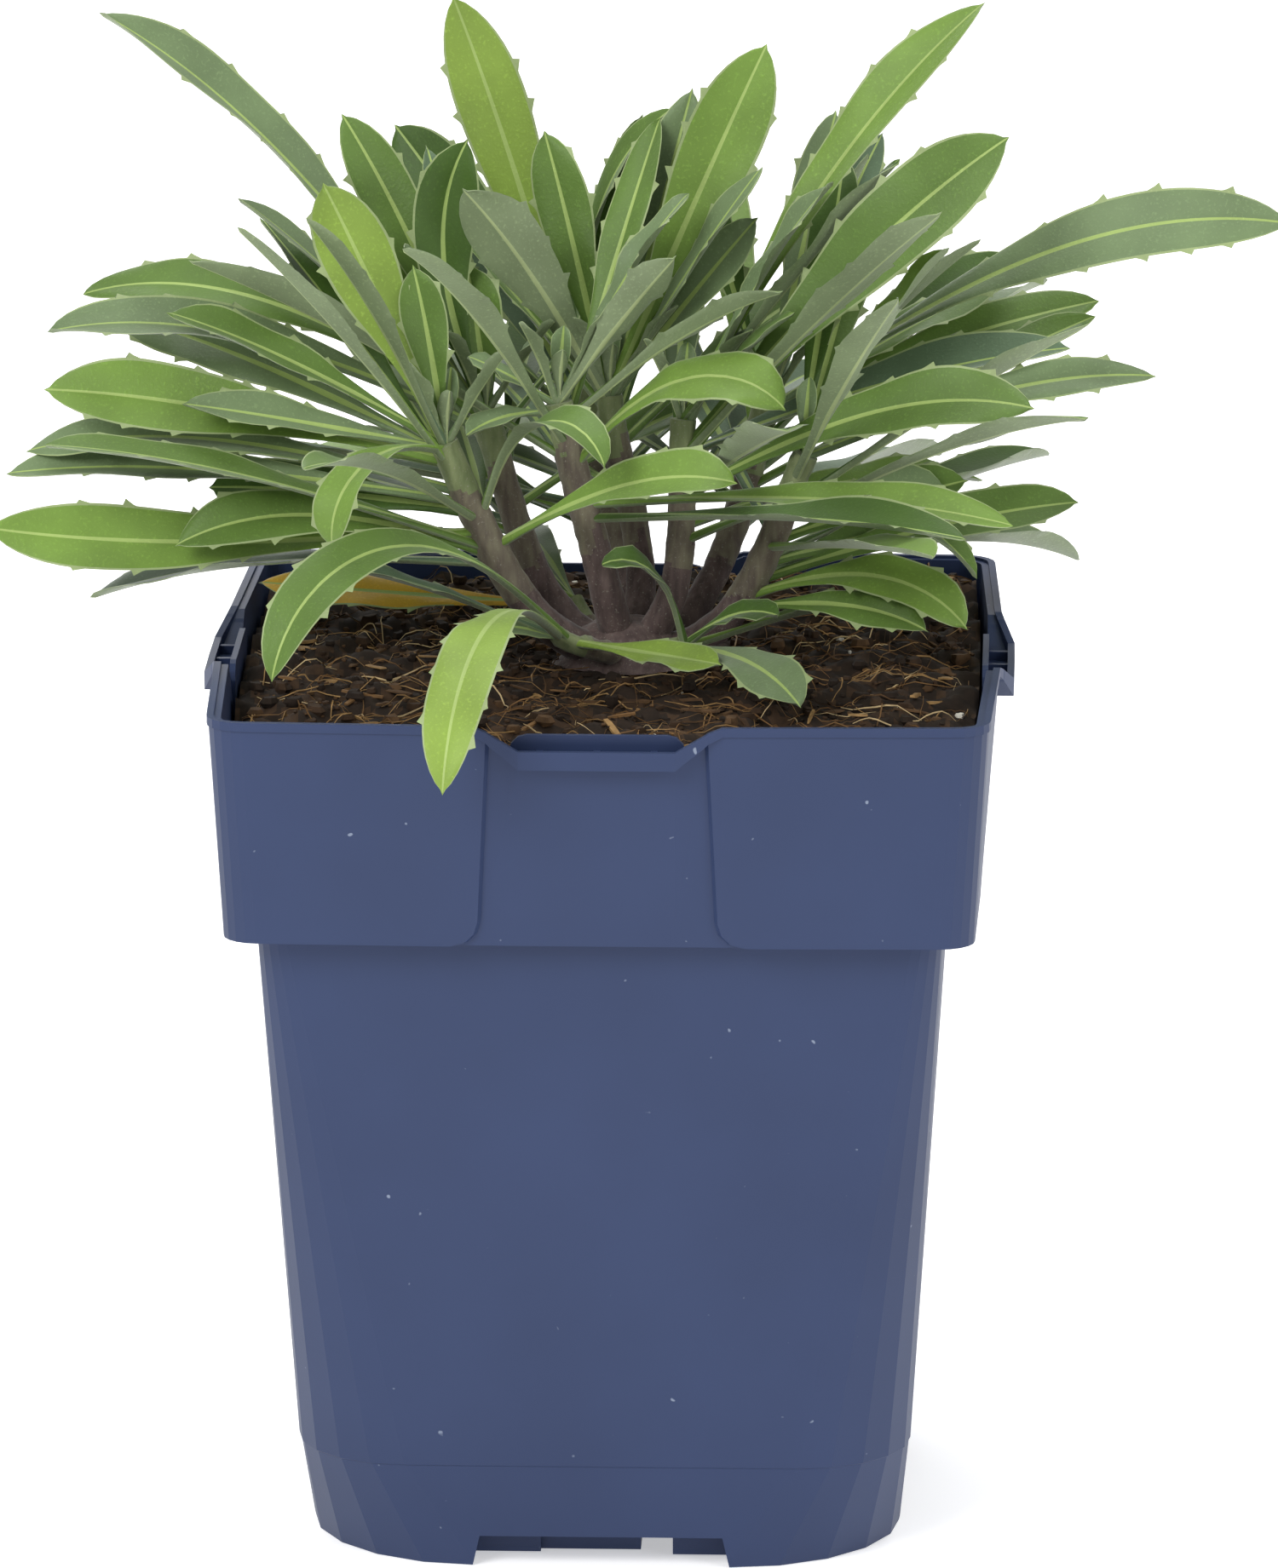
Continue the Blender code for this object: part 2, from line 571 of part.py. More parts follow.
def crown_point(bearing, lean, grown=0.0):
    """A point on the crown's mound, or that much above it, and the direction out of it."""
    turn, tilt = math.radians(bearing), math.radians(lean)
    out = Vector((math.sin(tilt) * math.sin(turn), -math.sin(tilt) * math.cos(turn), math.cos(tilt)))
    point = Vector((CROWN_X, 0, CROWN_BASE))
    point += Vector((out.x * (CROWN_WIDE + grown), out.y * (CROWN_DEEP + grown), out.z * (CROWN_TALL + grown)))
    return point, out


def build_crown(material):
    rings = []
    for lean, flare in ((90, CROWN_FLARE), (75, 1.04), (58, 1.0), (40, 1.0), (20, 1.0)):
        ring = []
        for i in range(CROWN_SIDES):
            point, _ = crown_point(360 * i / CROWN_SIDES, lean)
            lobe = 1 + 0.035 * math.cos(5 * math.tau * i / CROWN_SIDES)
            ring.append(Vector((
                CROWN_X + (point.x - CROWN_X) * flare * lobe,
                point.y * flare * lobe,
                point.z,
            )))
        rings.append(ring)
    crown = object_from("trunk", *loft(rings), material=material)
    outward(crown)
    return crown


def shoot_curve(shoot):
    """The four points of a shoot's curve: its foot on the crown, two that bend it, and its tip."""
    start, out = crown_point(shoot.bearing, shoot.lean, grown=1.0 * MM)
    tip = Vector((shoot.tip[0] * MM, shoot.tip[1] * MM, SOIL_LEVEL + shoot.tip[2] * MM))
    reach = (tip - start).length
    upward = Vector(((tip.x - start.x) * 0.25, (tip.y - start.y) * 0.25, reach * 0.3))
    return start, start + out * reach * 0.3, tip - upward, tip


def shoot_point(curve, share):
    a, b, c, d = curve
    rest = 1 - share
    return a * rest**3 + b * 3 * rest**2 * share + c * 3 * rest * share**2 + d * share**3


def shoot_direction(curve, share):
    low = max(share - 0.01, 0.0)
    high = min(share + 0.01, 1.0)
    return (shoot_point(curve, high) - shoot_point(curve, low)).normalized()


def stem_rings(shoot, start, end, sides, steps, grown=0.0):
    curve = shoot_curve(shoot)
    rings = []
    for step in range(steps + 1):
        share = start + (end - start) * step / steps
        along = shoot_direction(curve, share)
        across = along.cross(Vector((0.2, -1, 0.1))).normalized()
        other = along.cross(across)
        radius = (shoot.foot_thick + (shoot.tip_thick - shoot.foot_thick) * share) * MM / 2 + grown
        centre = shoot_point(curve, share)
        rings.append([
            centre + (across * math.cos(math.tau * i / sides) + other * math.sin(math.tau * i / sides)) * radius
            for i in range(sides)
        ])
    return rings


def stem_start(shoot):
    """Where a mass's stem starts on its shoot: just clear of the bough, or of the crown."""
    if not shoot.bough:
        return 0.0
    a, b, c, d = shoot_curve(shoot)
    length = (b - a).length + (c - b).length + (d - c).length
    return shoot.bough + CLEAR / length * 1.2


def build_bough(shoot, material):
    rings = stem_rings(shoot, 0.0, shoot.bough, STEM_SIDES, 3)
    bough = object_from(f"bough_{shoot.name}", *loft(rings), material=material)
    outward(bough)
    return bough


# Leaves

def blade_share(share):
    """A leaf's half outline: a narrow stalk that widens late, then a short point."""
    if share < WIDEST:
        return PETIOLE_SHARE + (1 - PETIOLE_SHARE) * smooth((share - BLADE_START) / (WIDEST - BLADE_START))
    beyond = (share - WIDEST) / (1 - WIDEST)
    return max(1 - beyond**2.3, 0.0) ** 0.7


def leaf_frames(leaf, root, stations):
    """Centre, side and upper direction at each station, walking from the root to the tip."""
    fine = 40
    wanted = [round(station * fine) for station in stations]
    frames = []
    point = root.copy()
    for i in range(fine + 1):
        share = i / fine
        pitch = math.radians(leaf.rise - leaf.droop * share**2)
        turn = math.radians(leaf.turn + leaf.sweep * share)
        roll = math.radians(leaf.roll + leaf.twist * share)
        along = Vector((math.cos(pitch) * math.sin(turn), -math.cos(pitch) * math.cos(turn), math.sin(pitch)))
        flat = Vector((math.cos(turn), math.sin(turn), 0))
        upper = along.cross(flat)
        side = flat * math.cos(roll) + upper * math.sin(roll)
        if i in wanted:
            frames.append((point.copy(), side, along.cross(side)))
        point += along * leaf.length * MM / fine
    return frames


def leaf_solid(leaf, root, margin=0.0, outer_only=False):
    """A closed blade, four points round at each station and one at the tip."""
    stations = LEAF_STATIONS if leaf.length > YOUNG_LENGTH else YOUNG_STATIONS
    first = OUTER_PART if outer_only else 0
    frames = leaf_frames(leaf, root, stations)[first:]
    stations = stations[first:]
    points = []
    for (centre, side, upper), share in zip(frames, stations):
        half = leaf.width * MM / 2 * blade_share(share) + margin
        thick = PETIOLE_THICK + (BLADE_THICK - PETIOLE_THICK) * smooth(share / 0.4) + 2 * margin
        fold = math.radians(leaf.fold) * smooth(share / 0.3)
        if share == 1.0:
            points.append(centre)
            continue
        lifted = upper * math.sin(fold) * half
        spread = side * math.cos(fold) * half
        points += [centre - spread + lifted, centre + upper * thick / 2, centre + spread + lifted]
        points.append(centre - upper * thick / 2)
    faces = [(0, 1, 2), (0, 2, 3)]
    rows = len(stations) - 1
    for row in range(rows - 1):
        for i in range(4):
            a, b = row * 4 + i, row * 4 + (i + 1) % 4
            faces += [(a, a + 4, b + 4), (a, b + 4, b)]
    tip = len(points) - 1
    last = (rows - 1) * 4
    faces += [(last + i, tip, last + (i + 1) % 4) for i in range(4)]
    return points, faces


def tree_of(points, faces):
    return BVHTree.FromPolygons(points, faces)


def meets_pot(point):
    """Whether a point is in the rim or the soil, or too close over them."""
    reach = max(abs(point.x), abs(point.y))
    along = min(abs(point.x), abs(point.y))
    if reach > RIM_HALF - WALL - POT_CLEAR:
        outer = RIM_HALF + SIDE_BOW + PANEL_OUT + BEAD_OUT / 3 + POT_CLEAR + LIP_OUT * lip(along)
        return reach < outer and point.z < POT_HEIGHT + POT_CLEAR
    return point.z < soil_height(point.x, point.y) + POT_CLEAR


class Planting:
    """Every leaf that has been placed, and the solids that the next one has to miss."""

    def __init__(self):
        self.curves = {shoot.name: shoot_curve(shoot) for shoot in SHOOTS}
        self.placed = {shoot.name: [] for shoot in SHOOTS}
        self.whole = []
        self.outer = []
        self.stems = []
        for shoot in SHOOTS:
            stem = loft(stem_rings(shoot, 0.0, 1.0, STEM_SIDES, STEM_STEPS, grown=0.4 * MM))
            self.stems.append((shoot.name, tree_of(*stem)))
            if shoot.bough:
                bough = loft(stem_rings(shoot, 0.0, shoot.bough + 0.02, STEM_SIDES, 3, grown=0.4 * MM))
                self.stems.append((None, tree_of(*bough)))
        self.stems.append((None, tree_of(*crown_shell())))

    def root(self, leaf):
        return shoot_point(self.curves[leaf.shoot], leaf.at)

    def free(self, leaf):
        root = self.root(leaf)
        solid = leaf_solid(leaf, root, margin=TEST_MARGIN / 2)
        if any(meets_pot(point) for point in solid[0][4:]):
            return None
        whole = tree_of(*solid)
        for owner, stem in self.stems:
            if owner != leaf.shoot and stem.overlap(whole):
                return None
        for owner, other in self.whole:
            if owner != leaf.shoot and other.overlap(whole):
                return None
        outer = tree_of(*leaf_solid(leaf, root, margin=TEST_MARGIN / 2, outer_only=True))
        for owner, other in self.outer:
            if owner == leaf.shoot and other.overlap(outer):
                return None
        return whole, outer

    def add(self, leaf):
        """Places a leaf, turned a little where it would touch something, or leaves it out."""
        for turn, rise in NUDGES:
            tried = leaf._replace(turn=leaf.turn + turn, rise=leaf.rise + rise)
            found = self.free(tried)
            if found:
                self.whole.append((leaf.shoot, found[0]))
                self.outer.append((leaf.shoot, found[1]))
                self.placed[leaf.shoot].append(tried)
                return True
        return False


def crown_shell():
    rings = []
    for lean in (90, 60, 30):
        rings.append([crown_point(360 * i / CROWN_SIDES, lean, grown=0.5 * MM)[0] for i in range(CROWN_SIDES)])
    return loft(rings)


def seeded_leaf(fill, number, rng):
    """A leaf by the plant's own rule: round the stem by the golden turn, low ones long and flat, top ones short."""
    up = (number + 0.5) / fill.count
    turn = fill.middle + fill.spread * math.sin(math.radians(number * GOLDEN_TURN + 20)) + rng.uniform(-8, 8)
    low = not next(shoot.bough for shoot in SHOOTS if shoot.name == fill.shoot)
    length = rng.uniform(66, 84) * (1 - 0.45 * up**2) * (0.6 if low else 1.0)
    return Leaf(
        fill.shoot,
        at=0.45 + 0.55 * up if not low else 0.6 + 0.4 * up,
        turn=turn,
        rise=4 + 66 * up**1.2 + rng.uniform(-6, 6) if not low else 18 + 10 * up,
        length=length,
        width=max(length * rng.uniform(0.135, 0.165), 6.5),
        droop=rng.uniform(6, 34) * (1 - 0.5 * up),
        sweep=rng.uniform(-14, 14),
        roll=rng.uniform(-16, 16),
        twist=rng.uniform(-18, 18),
        fold=rng.uniform(10, 26),
    )


def young_leaves(shoot):
    """The tuft of small upright leaves in the heart of a shoot's tip."""
    return [
        Leaf(shoot.name, 0.99, number * GOLDEN_TURN + 30, 84 - 9 * number, 10 + 3.5 * number, 3.4 + 0.7 * number,
             8, 0, 0, 0, 26)
        for number in range(4)
    ]


def plant_leaves():
    """Every leaf of the plant, by shoot."""
    planting = Planting()
    missed = [leaf for leaf in LEAVES if not planting.add(leaf)]
    for shoot in SHOOTS:
        if shoot.bough:
            for leaf in young_leaves(shoot):
                planting.add(leaf)
    rng = random.Random(SEED)
    for fill in FILLS:
        for number in range(fill.count):
            planting.add(seeded_leaf(fill, number, rng))
    return planting, missed


def keep_largest(obj):
    """Drops every loose scrap and sealed hollow, keeping the body with the most faces."""
    drawing = bmesh.new()
    drawing.from_mesh(obj.data)
    left = set(drawing.faces)
    bodies = []
    while left:
        front = [left.pop()]
        body = set(front)
        while front:
            face = front.pop()
            for edge in face.edges:
                for other in edge.link_faces:
                    if other in left:
                        left.discard(other)
                        body.add(other)
                        front.append(other)
        bodies.append(body)
    bodies.sort(key=len)
    scraps = [face for body in bodies[:-1] for face in body]
    bmesh.ops.delete(drawing, geom=scraps, context="FACES")
    drawing.to_mesh(obj.data)
    drawing.free()


def build_mass(shoot, leaves, curve, material):
    """One shoot's stem with all its leaves, fused into one solid."""
    start = stem_start(shoot)
    rings = stem_rings(shoot, start, 1.0, STEM_SIDES, STEM_STEPS)
    mass = object_from(f"foliage_{shoot.name}", *loft(rings), material=material)
    outward(mass)
    blades = new_collection(f"blades {shoot.name}")
    for leaf in leaves:
        object_from("blade", *leaf_solid(leaf, shoot_point(curve, leaf.at)), collection=blades)
    combine(mass, blades, "UNION", solver="MANIFOLD")
    keep_largest(mass)
    return mass


def main():
    clear_scene()
    navy = finish("pot navy", NAVY)
    peat = finish("compost", PEAT)
    bark = finish("stem bark", BARK)
    green = finish("leaf green", GREEN)
    build_pot(navy)
    build_soil(peat)
    build_crown(bark)
    planting, _ = plant_leaves()
    for shoot in SHOOTS:
        if shoot.bough:
            build_bough(shoot, bark)
        build_mass(shoot, planting.placed[shoot.name], planting.curves[shoot.name], green)


if __name__ == "__main__":
    main()
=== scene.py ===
"""Looks of a young perennial wallflower, leaves only, in a square navy plastic nursery pot.

Metres, +Z up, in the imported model's frame. The leaves are planted here by the same rule as the
model's solids, so each fine leaf lies where its solid is, and every piece rides on the one body.
"""

import math
import random
from collections import namedtuple

import bpy
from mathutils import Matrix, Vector, noise
from mathutils.bvhtree import BVHTree


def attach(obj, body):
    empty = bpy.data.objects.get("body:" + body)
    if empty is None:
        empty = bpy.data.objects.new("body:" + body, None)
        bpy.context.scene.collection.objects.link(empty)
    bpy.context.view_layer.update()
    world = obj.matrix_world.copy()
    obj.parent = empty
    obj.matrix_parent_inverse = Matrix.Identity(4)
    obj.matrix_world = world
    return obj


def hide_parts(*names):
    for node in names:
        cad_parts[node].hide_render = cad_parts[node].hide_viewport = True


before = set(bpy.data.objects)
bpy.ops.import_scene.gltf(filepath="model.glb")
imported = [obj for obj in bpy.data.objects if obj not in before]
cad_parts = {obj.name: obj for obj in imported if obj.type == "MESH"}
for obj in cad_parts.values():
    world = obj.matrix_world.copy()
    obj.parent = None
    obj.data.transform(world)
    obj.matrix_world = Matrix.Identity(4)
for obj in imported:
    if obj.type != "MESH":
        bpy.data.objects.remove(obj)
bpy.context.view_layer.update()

MM = 0.001
CLEAR = 0.3 * MM

# Pot, from its foot to its rim. A half is from the middle to a face.
POT_HEIGHT = 150.4 * MM
BASE_HALF = 50.3 * MM
BASE_CORNER = 29 * MM
LINE_HEIGHT = 18 * MM
LINE_HALF = 52.2 * MM
LINE_CORNER = 19 * MM
NECK_HALF = 57.5 * MM
NECK_CORNER = 5 * MM
COLLAR_HEIGHT = 112 * MM
COLLAR_HALF = 61.9 * MM
COLLAR_CORNER = 5 * MM
RIM_HALF = 64.0 * MM
WALL = 1.2 * MM
CORNER_STEPS = 5

# Rim bead, and the corner panels that stand out of the collar
BEAD_OUT = 0.9 * MM
PANEL_OUT = 0.9 * MM
PANEL_EDGE_TOP = 17.8 * MM
PANEL_EDGE_LOW = 19.6 * MM
PANEL_FILLET = 4.3 * MM
PANEL_BEVEL = 0.6 * MM
SIDE_BOW = 1.5 * MM

# The lip in the middle of each side
LIP_END = 20.8 * MM
LIP_FULL = 13 * MM
LIP_REST = 3 * MM
LIP_OUT = 2.2 * MM

# Foot
FLOOR_UNDER = 5.3 * MM
FLOOR_THICK = 1.3 * MM

# Compost
SOIL_LEVEL = 145.8 * MM
SOIL_FLAT = 13 * MM
SOIL_TILT_RIGHT = 0.020
SOIL_TILT_BACK = 0.025
SOIL_BUMP = 0.9 * MM

# The crown that every stem comes from: a low mound, flat under
CROWN_X = 2.5 * MM
CROWN_WIDE = 10.5 * MM
CROWN_DEEP = 8.5 * MM
CROWN_TALL = 8.0 * MM
CROWN_FLARE = 1.18
CROWN_SIDES = 16
CROWN_BASE = SOIL_LEVEL + CLEAR

# Stems
STEM_SIDES = 8
STEM_STEPS = 7
BOUGH_END = 0.24

# Leaves. A blade's width and thickness are shares of its full width and its length.
LEAF_STATIONS = (0.0, 0.2, 0.4, 0.575, 0.75, 0.925, 1.0)
YOUNG_STATIONS = (0.0, 0.4, 0.75, 1.0)
YOUNG_LENGTH = 24
PETIOLE_SHARE = 0.19
WIDEST = 0.75
BLADE_START = 0.14
PETIOLE_THICK = 1.7 * MM
BLADE_THICK = 0.95 * MM
TEST_MARGIN = 0.7 * MM
POT_CLEAR = 0.9 * MM
OUTER_PART = 2
NUDGES = ((0, 0), (4, 0), (-4, 0), (0, 4), (0, -4), (7, 3), (-7, 3), (7, -3), (-7, -3), (0, 8), (0, -8),
          (11, 0), (-11, 0), (11, 7), (-11, 7), (15, 0), (-15, 0), (0, 13), (18, 8), (-18, 8))
GOLDEN_TURN = 137.5

# A shoot: where its foot stands on the crown (bearing, and lean from upright), its tip in
# millimetres from the middle of the soil, its thickness at foot and tip, and its share of bare bough.
Shoot = namedtuple("Shoot", "name bearing lean tip foot_thick tip_thick bough")
SHOOTS = (
    Shoot("left", -62, 62, (-28, -9, 40), 6.2, 4.4, BOUGH_END),
    Shoot("left_back", -118, 58, (-22, 8, 42), 5.8, 4.2, BOUGH_END),
    Shoot("centre", -30, 22, (-9, -3, 46), 6.2, 4.2, BOUGH_END),
    Shoot("back", 165, 40, (-1, 12, 44), 5.6, 4.2, BOUGH_END),
    Shoot("mid_right", 70, 33, (12, 3, 42), 5.6, 4.2, BOUGH_END),
    Shoot("right", 80, 68, (33, -6, 38), 6.0, 4.2, BOUGH_END),
    Shoot("right_back", 128, 62, (26, 21, 41), 5.6, 4.2, BOUGH_END),
    Shoot("rear", 176, 72, (-6, 34, 40), 5.6, 4.2, BOUGH_END),
    Shoot("low_left", -14, 68, (-9, -12, 8), 4.2, 3.4, 0.0),
    Shoot("low_right", 40, 68, (13, -11, 6), 4.2, 3.4, 0.0),
    Shoot("low_back", -150, 70, (-7, 14, 8), 4.2, 3.4, 0.0),
)

# A leaf: its shoot and how far up it, the bearing and the rise it sets off with, length and
# width in millimetres, then how far it droops, sweeps round, rolls and twists, and its fold, in degrees.
Leaf = namedtuple("Leaf", "shoot at turn rise length width droop sweep roll twist fold")
LEAVES = (
    # left: the long leaves and the fan that leaves to that side
    Leaf("left_back", 0.95, -88, 56, 97, 12.5, 27, 0, -24, 0, 28),
    Leaf("left", 0.62, -86, -3, 84, 12, -12, 0, -15, -60, 10),
    Leaf("left", 0.52, -80, 19, 56, 11, 48, 0, -45, 0, 20),
    Leaf("left", 0.74, -92, 8, 79, 10, 16, 0, -35, 10, 20),
    Leaf("left", 0.78, -98, 14, 76, 10, 30, 0, -30, 0, 20),
    Leaf("left", 0.70, -100, 6, 46, 12, 10, 0, -45, 0, 8),
    Leaf("left", 0.92, -93, 13, 70, 13, 12, 0, -45, -10, 8),
    Leaf("left", 0.97, -85, 12, 45, 8.5, 4, 0, -40, 10, 20),
    Leaf("left", 0.99, -96, 29, 52, 9, 14, 0, -30, 10, 20),
    Leaf("left", 1.0, -110, 64, 48, 13, 3, 0, -75, 0, 10),
    Leaf("left", 0.98, -120, 72, 31, 8.5, 6, 0, -60, 0, 20),
    Leaf("left_back", 0.90, -82, 27, 79, 12, 39, 0, -35, 15, 16),
    Leaf("left_back", 0.97, -103, 30, 76, 10.5, 50, 0, -35, 0, 18),
    Leaf("left_back", 1.0, -118, 64, 56, 10, 12, 0, -60, 10, 14),
    Leaf("left_back", 0.96, -90, 70, 50, 11.5, -50, 0, -80, 0, 14),
    Leaf("left_back", 0.90, -120, 84, 29, 10.5, 4, 0, -55, 0, 16),
    Leaf("left", 0.97, -36, 15, 38, 9.5, 120, -6, 0, 0, 12),
    Leaf("left", 0.94, -106, 22, 66, 10, 14, 0, -45, 0, 12),
    # centre: tall faces, young leaves and the arched ones in front
    Leaf("rear", 0.92, -114, 72, 75, 12.5, 6, 0, -62, 0, 8),
    Leaf("rear", 0.97, 82, 92, 56, 7.5, 58, 0, 25, 0, 20),
    Leaf("rear", 0.95, -130, 46, 62, 14, 6, 0, -60, 0, 8),
    Leaf("back", 0.98, 106, 66, 66, 13.5, 2, 0, 75, 0, 8),
    Leaf("back", 0.94, 135, 70, 56, 10, 0, 0, 30, 0, 22),
    Leaf("back", 0.96, -62, 60, 48, 12.5, 14, 0, 55, 0, 12),
    Leaf("back", 1.0, -130, 73, 46, 10, 4, 0, -60, 0, 12),
    Leaf("centre", 1.0, 78, 54, 33, 8, 6, 0, -50, 0, 14),
    Leaf("centre", 0.9, 80, 40, 45, 7, 22, 0, -30, 0, 18),
    Leaf("centre", 0.7, 70, 50, 46, 13, 98, 0, 30, 0, 10),
    Leaf("centre", 0.98, -80, 34, 18, 6, 12, 0, -20, 0, 18),
    Leaf("centre", 0.95, -62, 5, 18, 5.5, 40, 0, -20, 0, 18),
    Leaf("left", 0.55, 64, 32, 50, 10.5, 40, 0, 40, 0, 12),
    Leaf("left", 0.66, 48, 68, 42, 9, 138, 0, 10, 0, 16),
    Leaf("rear", 1.0, 100, 84, 49, 8, 6, 0, 60, 0, 14),
    Leaf("rear", 0.86, -112, 64, 43, 11, 0, 0, -60, 0, 12),
    Leaf("back", 0.97, 100, 52, 40, 9, 4, 0, 50, 0, 14),
    # right: the long leaves and the fan that leaves to that side
    Leaf("mid_right", 0.98, 101, 61, 88, 12, 22, 0, 30, 0, 20),
    Leaf("mid_right", 0.80, 82, 51, 80, 15, 16, 0, 70, 0, 8),
    Leaf("mid_right", 1.0, 88, 53, 58, 9, 6, 0, -20, 10, 20),
    Leaf("mid_right", 0.62, 77, 28, 68, 12.5, 40, 0, 45, 0, 12),
    Leaf("mid_right", 0.42, 66, 26, 62, 10, 80, 0, 25, -30, 14),
    Leaf("right_back", 0.95, 84, 36, 99, 12.5, 44, 0, 10, 60, 12),
    Leaf("right_back", 0.98, 110, 17, 62, 10, 10, 0, 35, 0, 18),
    Leaf("right_back", 0.92, 126, 28, 58, 11, 16, 0, 30, 0, 16),
    Leaf("right_back", 1.0, 150, 66, 52, 10, 4, 0, 50, 0, 16),
    Leaf("right", 0.98, 100, 20, 62, 8, 26, 0, 40, 0, 18),
    Leaf("right", 0.60, 95, 20, 35, 9.5, 8, 0, 45, 0, 16),
    Leaf("right", 0.42, 103, 16, 58, 10, 14, 0, 40, 0, 16),
    Leaf("right", 0.50, 112, 10, 35, 8.5, 6, 0, 40, 0, 16),
    Leaf("right", 0.34, 66, 22, 45, 9.5, 72, 0, 40, 0, 12),
    Leaf("right", 0.28, 62, 12, 38, 7.5, 34, 0, 40, 0, 12),
    Leaf("right_back", 0.97, 112, 26, 50, 9, 6, 0, 20, 0, 16),
    Leaf("right_back", 0.85, 100, 12, 48, 10, 12, 0, 40, 0, 12),
    Leaf("right_back", 0.99, 40, 62, 26, 8, 20, 0, 10, 0, 16),
    Leaf("mid_right", 1.0, 60, 48, 30, 8, 14, 0, 20, 0, 14),
    Leaf("right", 0.72, 92, 14, 28, 9, 10, 0, 40, 0, 12),
    # foot: the low leaves round the crown, over the soil and the rim
    Leaf("low_right", 0.9, 72, 40, 19, 7, 60, 0, 20, 0, 12),
    Leaf("low_right", 0.8, 30, 9, 42, 10, 34, 0, 20, 0, 8),
    Leaf("low_right", 0.95, -62, 76, 25, 7.5, 100, 0, -20, 0, 16),
    Leaf("low_left", 0.75, 58, 2, 32, 8.5, 2, 0, 20, 0, 8),
    Leaf("low_left", 0.45, -84, 22, 18, 6.5, 24, 0, -20, 0, 12),
    Leaf("low_left", 0.9, -13, 25, 85, 11, 104, 0, 0, 0, 6),
    Leaf("low_left", 0.7, -44, 42, 84, 11, 122, 0, -20, 0, 12),
    Leaf("low_back", 0.8, -107, 0, 58, 9, 0, 0, -30, 0, 8),
)

# The seeded leaves that fill the rest, for each shoot: how many, and the bearings they keep to.
Fill = namedtuple("Fill", "shoot count middle spread")
FILLS = (
    Fill("left", 9, -115, 75),
    Fill("left_back", 10, -150, 70),
    Fill("centre", 9, 0, 180),
    Fill("back", 8, 180, 100),
    Fill("mid_right", 7, 110, 90),
    Fill("right", 10, 105, 80),
    Fill("right_back", 12, 140, 80),
    Fill("rear", 16, 180, 115),
    Fill("low_left", 1, -100, 20),
    Fill("low_right", 2, 95, 30),
    Fill("low_back", 4, 180, 70),
)
SEED = 41

# Fine leaves: walk steps, teeth and thickness
WALK_STEPS = 40
ROWS_PER_METRE = 330
FEWEST_ROWS, MOST_ROWS = 9, 30
COLUMNS = (-1.0, -0.93, -0.66, -0.36, None, 0.0, None, 0.36, 0.66, 0.93, 1.0)
MIDDLE_COLUMN = 5
RIB_HALF = 0.42 * MM
FINE_PETIOLE = 1.6 * MM
FINE_BLADE = 0.55 * MM
RIB_GROOVE = 0.16 * MM
RIB_RIDGE = 0.30 * MM
TOOTH_SPACING = 8.5 * MM
TOOTH_RISE = 2.0 * MM
TOOTH_FALL = 0.45 * MM
TOOTH_FROM, TOOTH_TO = 0.46, 0.93
TIP_POINT = 0.7 * MM

# Fine stems
FINE_SIDES = 20
FINE_STEM_STEP = 0.8 * MM
RIDGE_LENGTH = 15 * MM
RIDGE_HEIGHT = 0.55 * MM
RIDGE_WIDE = 0.42

# Fine compost
SOIL_EDGE_STEP = 2.0 * MM
SOIL_FINE_RINGS = 80
CRUMBS = 1500
FIBRES = 620
CHIPS = 170
PERLITE = 16

# One tone for each leaf of the list above, in its order. The tones mix the leaves' own greens with painted
# light and shade: the bright fresh and lime tones are partly painted light on leaves that stand in the light,
# and the dark deep tone is mostly painted shade on leaves that stand in shadow.
TONES = (
    "sage fresh mid sage sage deep fresh sage mid lime mid sage mid mid deep mid fresh sage "
    "lime mid deep fresh sage mid mid mid mid fresh sage sage fresh mid deep blue sage "
    "fresh mid deep mid mid sage mid deep sage sage mid mid mid fresh mid mid sage deep mid sage "
    "deep sage deep lime sage lime mid gold"
).split()
# The filling leaves are dealt these tones in turn: the deep one is painted shade and the fresh one is partly
# painted light.
FILL_TONES = ("mid", "sage", "deep", "fresh", "blue", "mid", "deep")


def srgb(red, green, blue):
    """A display colour, 0 to 255 each, as the linear colour that a shader takes."""
    return tuple(((value / 255 + 0.055) / 1.055) ** 2.4 for value in (red, green, blue))


# Leaf greens. Sage, blue, mid and gold are the leaves' own tones. Fresh and lime are the green lightened as
# painted light, and deep is the green darkened as painted shade.
LEAF_COLOURS = {
    "lime": srgb(124, 150, 60),
    "fresh": srgb(106, 136, 54),
    "mid": srgb(88, 116, 48),
    "deep": srgb(64, 92, 30),
    "sage": srgb(104, 124, 84),
    "blue": srgb(86, 108, 80),
    "gold": srgb(196, 158, 44),
}
RIB_COLOUR = srgb(150, 172, 96)
MARGIN_COLOUR = srgb(142, 158, 108)
UNDER_COLOUR = srgb(118, 132, 98)
UNDER_RIB_COLOUR = srgb(156, 168, 122)


# The plant's rule, as in the model's source

def smooth(share):
    share = min(max(share, 0.0), 1.0)
    return share * share * (3 - 2 * share)


def lip(along):
    """How far the lip has come out, from 0 on the panels to 1 in the middle of the side."""
    return smooth((LIP_END - abs(along)) / (LIP_END - LIP_FULL))


def panel_edge(height):
    """Where the corner panels end at this height: nearly upright, with a round lower corner."""
    down = (POT_HEIGHT - height) / (POT_HEIGHT - COLLAR_HEIGHT)
    edge = PANEL_EDGE_TOP + (PANEL_EDGE_LOW - PANEL_EDGE_TOP) * down
    above = min((height - COLLAR_HEIGHT) / PANEL_FILLET, 1.0)
    return edge + PANEL_FILLET * (1 - math.sqrt(1 - (1 - above) ** 2))


def side_bow(along, height):
    """How far the middle of a side bows out of the square, most of all at the rim."""
    return SIDE_BOW * (1 - (along / RIM_HALF) ** 2) * (height / POT_HEIGHT) ** 2


Ring = namedtuple("Ring", "half corner height out panel lip_out lip_drop")


def wall_ring(half, corner, height, out=0.0, panel=0.0, lip_out=0.0, lip_drop=0.0):
    return Ring(half, corner, height, out, panel, lip_out, lip_drop)


